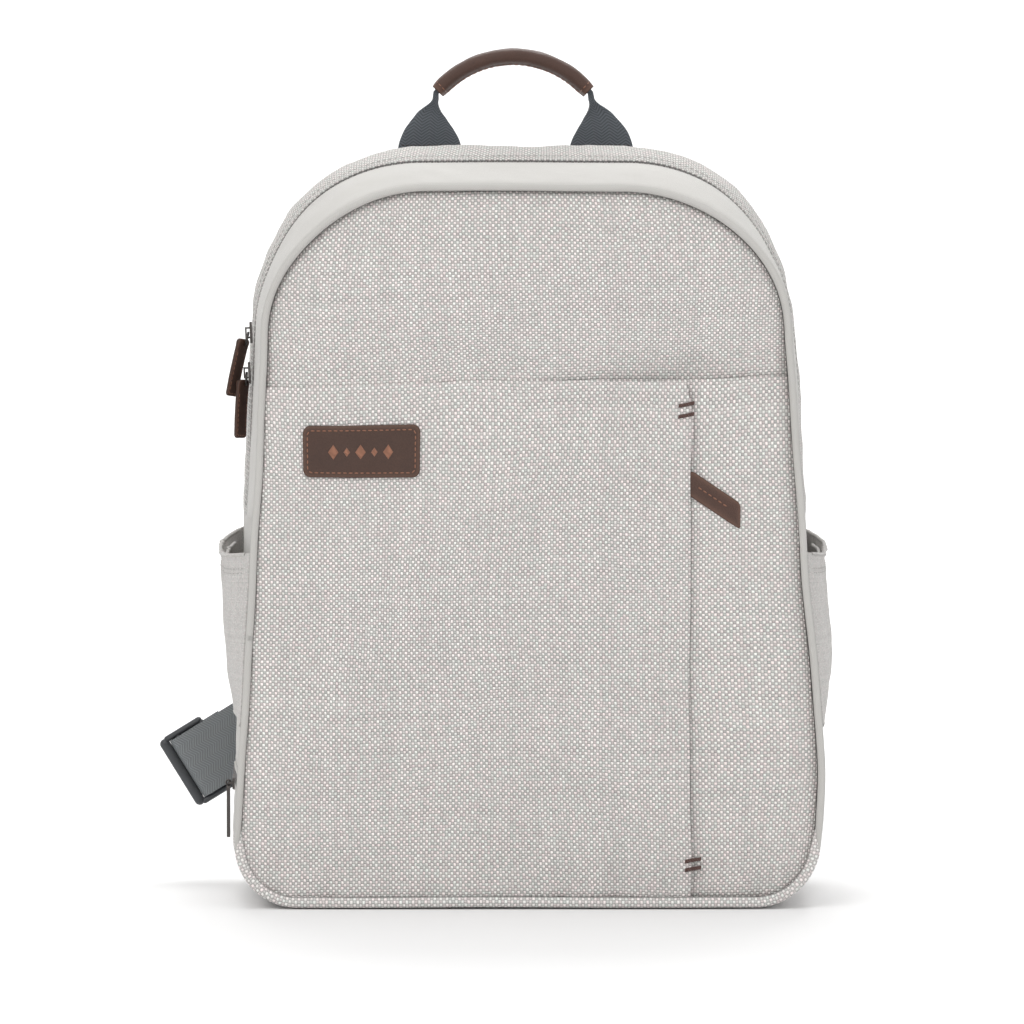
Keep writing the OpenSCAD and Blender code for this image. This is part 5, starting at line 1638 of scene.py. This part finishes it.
for side, sg, da, off, up, uw in (("left", 1, DL, -8, UP_L, UW_L), ("right", -1, DR, -16, UP_R, UW_R)):
    q = [[6.4, 69.6], [8.6, 70.6], [18, 71.4], [26, 71.4], [44 + off, 71.2], [54 + off, 71.4], [60 + off, 72.6], [62.6 + off, 76], [60 + off, 79.6], [54 + off, 81.6], [43 + off, 84.8], [31 + off, 86.4]]
    P = spline(np.array([low_p(da, a_, b_) for a_, b_ in q]), 110)
    W = np.tile(low_w(da), (len(P), 1))
    cup = 0.35 * np.sin(np.linspace(0, 3, len(P)))
    P = P + arr(0, 1, 0) * (0.3 * np.sin(along(P) / 14.0))[:, None]
    o = ribbon(f"{side}_webbing_lower_strap", flip_x(P, sg), flip_x(W, sg), 19, 1.5, M["strap"], k=21, lip=0.3)
    keep(o, f"{side}_strap", nodes=f"{side}_webbing_lower")
    pu = spline(np.array([p_ + w_ for p_, w_ in zip(up, uw)]), 90)
    o = ribbon(f"{side}_webbing_upper_strap", flip_x(pu[:, :3], sg), flip_x(pu[:, 3:], sg), 19, 1.5, M["strap"], k=21, lip=0.3)
    keep(o, f"{side}_strap", nodes=f"{side}_webbing_upper")
    # Folded and stitched tail of the upper length.
    C = pu[80, :3]
    X = np.linspace(-16, 16, 40)
    Wd, Td = unit(pu[80, 3:]), unit(pu[82, :3] - pu[78, :3])
    Nd = unit(np.cross(Td, Wd))
    Nd = Nd * (1 if Nd[1] > 0 else -1)
    n_ = len(X)
    keep(copies(f"{side}_webbing_bar", BEAD[0], BEAD[1], flip_x(C + Wd * X[:, None] + Nd * 0.9, sg), flip_x(np.tile(Td * 1.4, (n_, 1)), sg), flip_x(np.tile(Wd * 0.45, (n_, 1)), sg), flip_x(np.tile(Nd * 0.35, (n_, 1)), sg), M["darkthread"]), f"{side}_strap")
    # Anchor tab: a folded triangle of cloth from the back seam to the webbing.
    W = low_w(da)
    tab = spline(np.array([list(low_p(da, a_, b_)) + [h_] for a_, b_, h_ in ([-9, 61.6, 22.5], [-5, 63.2, 21.4], [-1, 65.2, 20.6], [3, 67.6, 20.2], [6.6, 69.4, 19.9])]), 26)
    o = ribbon(f"{side}_anchor_cloth", flip_x(tab[:, :3], sg), flip_x(np.tile(W, (26, 1)), sg), tab[:, 3], 2.6, M["back"], k=21, lip=0.5)
    keep(o, nodes="anchor_tabs")
    P = tab[20, :3] + W * np.linspace(-17, 17, 30)[:, None] + arr(0, 1.3, 0)
    keep(stitches(f"{side}_anchor_stitches", flip_x(P, sg), (0, 1, 0), M["thread"], pitch=2.6, length=1.9, r=0.26))

# ---------------------------------------------------------------- inside
def plain_sheet(name, X, Z, y, thick, mat, nodes, amp=0.8, wave=50, seed=3):
    P = np.stack([X, y, Z], -1)
    w_ = amp * field(P.reshape(-1, 3), wave, seed, 3).reshape(X.shape)
    O = P + np.stack([w_ * 0, w_, w_ * 0], -1)
    o = shell(name, O, O + arr(0, thick, 0), mat, np.stack([X, Z], -1))
    return keep(o, nodes=nodes)


G = [(-148, -66), (148, -66)]
ys = np.linspace(-66, 49, 30)
X, Y = rows(ys, lambda y: -np.interp(y, [-68, -8, 22, 50], [147, 152, 153, 150]), lambda y: np.interp(y, [-68, -8, 22, 50], [147, 152, 153, 150]), 60, 0.3)
zf = 96.6 + 0.5 * field(np.stack([X, Y, X * 0], -1).reshape(-1, 3), 60, 6).reshape(X.shape)
o = shell("compartment_floor_cloth", np.stack([X, Y, zf + 0.8], -1), np.stack([X, Y, zf - 0.4], -1), M["lining"], np.stack([X, Y], -1))
keep(o, nodes="compartment_floor")
zs_ = dense_ends(-113, 113, 50, 0.9, 0.9)
X, Z = rows(zs_, lambda z: -rounded_x(125, 113, 12, z), lambda z: rounded_x(125, 113, 12, z), 60, 0.8)
out = np.array([(np.sign(math.cos(q)) * 113 + 12 * math.cos(q), np.sign(math.sin(q)) * 101 + 12 * math.sin(q)) for q in np.linspace(0, 2 * np.pi, 90)])
e = edge_distance(X, Z, out)
puff = 2.2 * (1 - np.exp(-e / 9))
for cx in (-62.5, 0, 62.5):
    puff = puff - 1.1 * np.exp(-((X - cx) / 3.0) ** 2) * step(2, 10, e)
O = np.stack([X, 46.2 - puff, Z + 217], -1)
I = np.stack([X, np.full(X.shape, 49.3), Z + 217], -1)
o = shell("laptop_sleeve_cushion", O, I, M["lining"], np.stack([X, Z], -1))
keep(o, nodes="laptop_sleeve")
keep(round_tube("laptop_sleeve_binding", np.stack([out[:-1, 0], np.full(len(out) - 1, 46.8), out[:-1, 1] + 217], 1), 1.5, M["binding"], k=8, loop=True))
X, Z = np.meshgrid(np.linspace(-110, 110, 60), np.linspace(104, 226, 40))
top = step(205, 226, Z)
y = -82 + LEAN * Z + 10.6 + 1.8 * top * np.cos(X / 110 * np.pi * 1.5) + 0.4 * field(np.stack([X, Z, X * 0], -1).reshape(-1, 3), 40, 8).reshape(X.shape)
o = shell("organizer_cloth", np.stack([X, y, Z], -1), np.stack([X, y + 1.2, Z], -1), M["lining"], np.stack([X, Z], -1))
keep(o, nodes="organizer_panel")
xx = np.linspace(-110, 110, 60)
y = np.interp(xx, X[-1], (-82 + LEAN * 226 + 11.2 + 1.8 * np.cos(xx / 110 * np.pi * 1.5)))
keep(round_tube("organizer_binding", np.stack([xx, y, np.full(60, 226.0)], 1), 1.3, M["binding"], k=8))
# Linings follow the shell a little inside it.
def lining(name, ys_, z0, d, nodes, bl=None, z1=None, kind="arch"):
    if kind == "arch":
        O = np.array([lift(depth_station(y), arch2(depth_station(y), d, z0, ns=40, na=26, nt=14)) for y in ys_])
    else:
        z = np.linspace(z0, z1, 40)
        O = np.array([np.stack([side_x(depth_station(y), z, d) * (-1 if kind == "left" else 1), z * 0 + y, z], 1) for y in ys_])
    a_ = 0.5 * field(O.reshape(-1, 3), 40, 17, 3).reshape(O.shape[:2])
    I = push(O, a_ - 0.6)
    O = push(O, a_)
    o = shell(name, soften(O), soften(I), M["lining"], grid_wv(O))
    return keep(o, nodes=nodes, blend=bl)


lining("rear_lining_cloth", np.linspace(7, 50, 16), 102, 4.2, "main_lining")
lining("front_lining_left", np.linspace(-50, -22, 10), 102, 4.2, "main_lining", bl=GUSSET_BLEND, z1=278, kind="left")
lining("front_lining_right", np.linspace(-50, -22, 10), 102, 4.2, "main_lining", bl=GUSSET_BLEND, z1=278, kind="right")
lining("lid_lining_cloth", np.linspace(-38, -22, 8), 294, 4.2, "lid_lining", bl=GUSSET_BLEND)
s = st(58)
zs_ = dense_ends(102, s[1] + s[2] - 6, 50, 0.3, 0.9)
X, Z = rows(zs_, lambda z: -width_at(s, 6, z), lambda z: width_at(s, 6, z), 50)
plain_sheet("back_lining_cloth", X, Z, np.full(X.shape, 50.4), 0.7, M["lining"], "main_lining", amp=0.3)
zs_ = dense_ends(294, sF[1] + sF[2] - 5, 40, 0.3, 0.9)
X, Z = rows(zs_, lambda z: -width_at(sF, 5, z), lambda z: width_at(sF, 5, z), 50)
O = front(X, Z, -7.6 + 0.4 * field(front(X, Z, 0).reshape(-1, 3), 50, 19).reshape(X.shape))
o = shell("lid_front_lining_cloth", O, O + arr(0, 0.8, 0), M["lining"], np.stack([X, Z], -1))
keep(o, nodes="lid_lining", blend=PANEL_BLEND)

# ---------------------------------------------------------------- carried-over CAD pieces
def repaint(node, mat, bevel=0.0):
    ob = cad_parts[node]
    if not ob.data.materials:
        ob.data.materials.append(mat)
    for k_ in range(len(ob.material_slots)):
        ob.material_slots[k_].material = mat
    if bevel:
        md = ob.modifiers.new("edge", "BEVEL")
        md.width, md.segments, md.limit_method, md.angle_limit = bevel * MM, 2, "ANGLE", math.radians(40)
    md = ob.modifiers.new("normals", "WEIGHTED_NORMAL")


for node in ("main_slider_upper", "main_slider_lower", "base_slider", "base_pull", "pocket_slider"):
    repaint(node, M["gunmetal"], 0.18)
for node in ("main_pull_upper_ring", "main_pull_lower_ring", "pocket_pull_ring"):
    repaint(node, M["gunmetal"])


def rod(name, A, B, r, mat, squash=1.0, k=20):
    """A moulded bar from A to B with domed ends."""
    t = np.r_[np.linspace(0, 1, 9) ** 2 * r, 0]
    L = float(np.linalg.norm(B - A))
    q = np.r_[t[:-1], np.linspace(r, L - r, 30)[1:-1], L - t[:-1][::-1]]
    e = np.minimum(q, L - q)
    rr = r * np.sqrt(np.clip(1 - (1 - np.clip(e / r, 0, 1)) ** 2, 0.02, 1))
    P = A + (B - A) * (q / L)[:, None]
    return round_tube(name, P, rr, mat, up=(0, 1, 0), k=k, squash=squash)


for side, sg, da, off in (("left", 1, DL, -8), ("right", -1, DR, -16)):
    W = low_w(da)
    c = low_p(da, 40 + off, 76)
    for j, (a0, w0, a1, w1, r, sq_) in enumerate((
        (26.3, -22.0, 26.3, 22.0, 3.0, 0.95), (0.6, -20.9, 25.6, -20.9, 1.8, 1.25), (0.6, 20.9, 25.6, 20.9, 1.8, 1.25),
        (1.9, -20.8, 1.9, 20.8, 1.9, 1.0), (17.4, -20.8, 17.4, 20.8, 1.9, 1.0),
    )):
        A, B = c + da * a0 + W * w0, c + da * a1 + W * w1
        keep(rod(f"{side}_lock_bar_{j}", flip_x(A, sg), flip_x(B, sg), r, M["plastic"], sq_), f"{side}_lock", nodes=f"{side}_ladder_lock")
repaint("base_board", M["board"], 0.4)

# ---------------------------------------------------------------- floor, light and camera
me = bpy.data.meshes.new("floor")
n = 60
xs = np.linspace(-4, 4, n)
prof = np.r_[np.linspace(-5.0, 2.6, 30), 2.6 + 1.2 * np.sin(np.linspace(0.05, 1, 20) * math.pi / 2), np.full(10, 3.8)]
prz = np.r_[np.zeros(30), 1.2 * (1 - np.cos(np.linspace(0.05, 1, 20) * math.pi / 2)), 1.2 + np.linspace(0.3, 3.0, 10)]
V = np.array([[x, y, z] for y, z in zip(prof, prz) for x in xs])
me.from_pydata(V.tolist(), [], quads(60, n).tolist())
me.polygons.foreach_set("use_smooth", [True] * len(me.polygons))
floor = bpy.data.objects.new("floor", me)
scene.collection.objects.link(floor)
g = Nodes("studio_floor")
tc = g.nt.nodes.new("ShaderNodeTexCoord").outputs["Object"]
f1 = g.noise(tc, 3.0, 2.0)
# Painted light: the floor's colour grades from 0.87 near the bag to 1.0 at the backdrop, whitening the far wall that
# the lamps light less.
me.materials.append(g.finish(g.scale((0.99, 0.99, 0.99, 1), g.math("MULTIPLY", g.map(g.split(tc)[1], 0.2, 2.2, 0.87, 1.0), g.math("MULTIPLY_ADD", f1, 0.02, 0.98))), g.math("MULTIPLY_ADD", f1, 0.1, 0.7), spec=0.2))

world = bpy.data.worlds.new("studio")
scene.world = world
world.use_nodes = True
bg = world.node_tree.nodes["Background"]
bg.inputs[0].default_value = (1.0, 1.0, 1.0, 1)
bg.inputs[1].default_value = WORLD
scene.view_settings.view_transform = "Standard"


def area(name, loc, target, size, power, color=(1, 1, 1)):
    li = bpy.data.lights.new(name, "AREA")
    li.shape, li.size, li.size_y = "RECTANGLE", size[0], size[1]
    li.energy, li.color = power, color
    ob = bpy.data.objects.new(name, li)
    ob.location = loc
    ob.rotation_euler = (Vector(target) - Vector(loc)).to_track_quat("-Z", "Y").to_euler()
    scene.collection.objects.link(ob)
    return ob


for args in LIGHTS:
    area(*args)

cam = bpy.data.cameras.new("camera")
cam.sensor_width, cam.lens = 36.0, CAM_LENS
cam.clip_start, cam.clip_end = 0.1, 50
co = bpy.data.objects.new("camera", cam)
co.location = CAM_AT
rot = (Vector(CAM_TO) - Vector(CAM_AT)).to_track_quat("-Z", "Y").to_matrix()
from mathutils import Matrix
co.rotation_euler = (rot @ Matrix.Rotation(math.radians(CAM_ROLL), 3, "Z")).to_euler()
scene.collection.objects.link(co)
scene.camera = co

scene.frame_set(1)
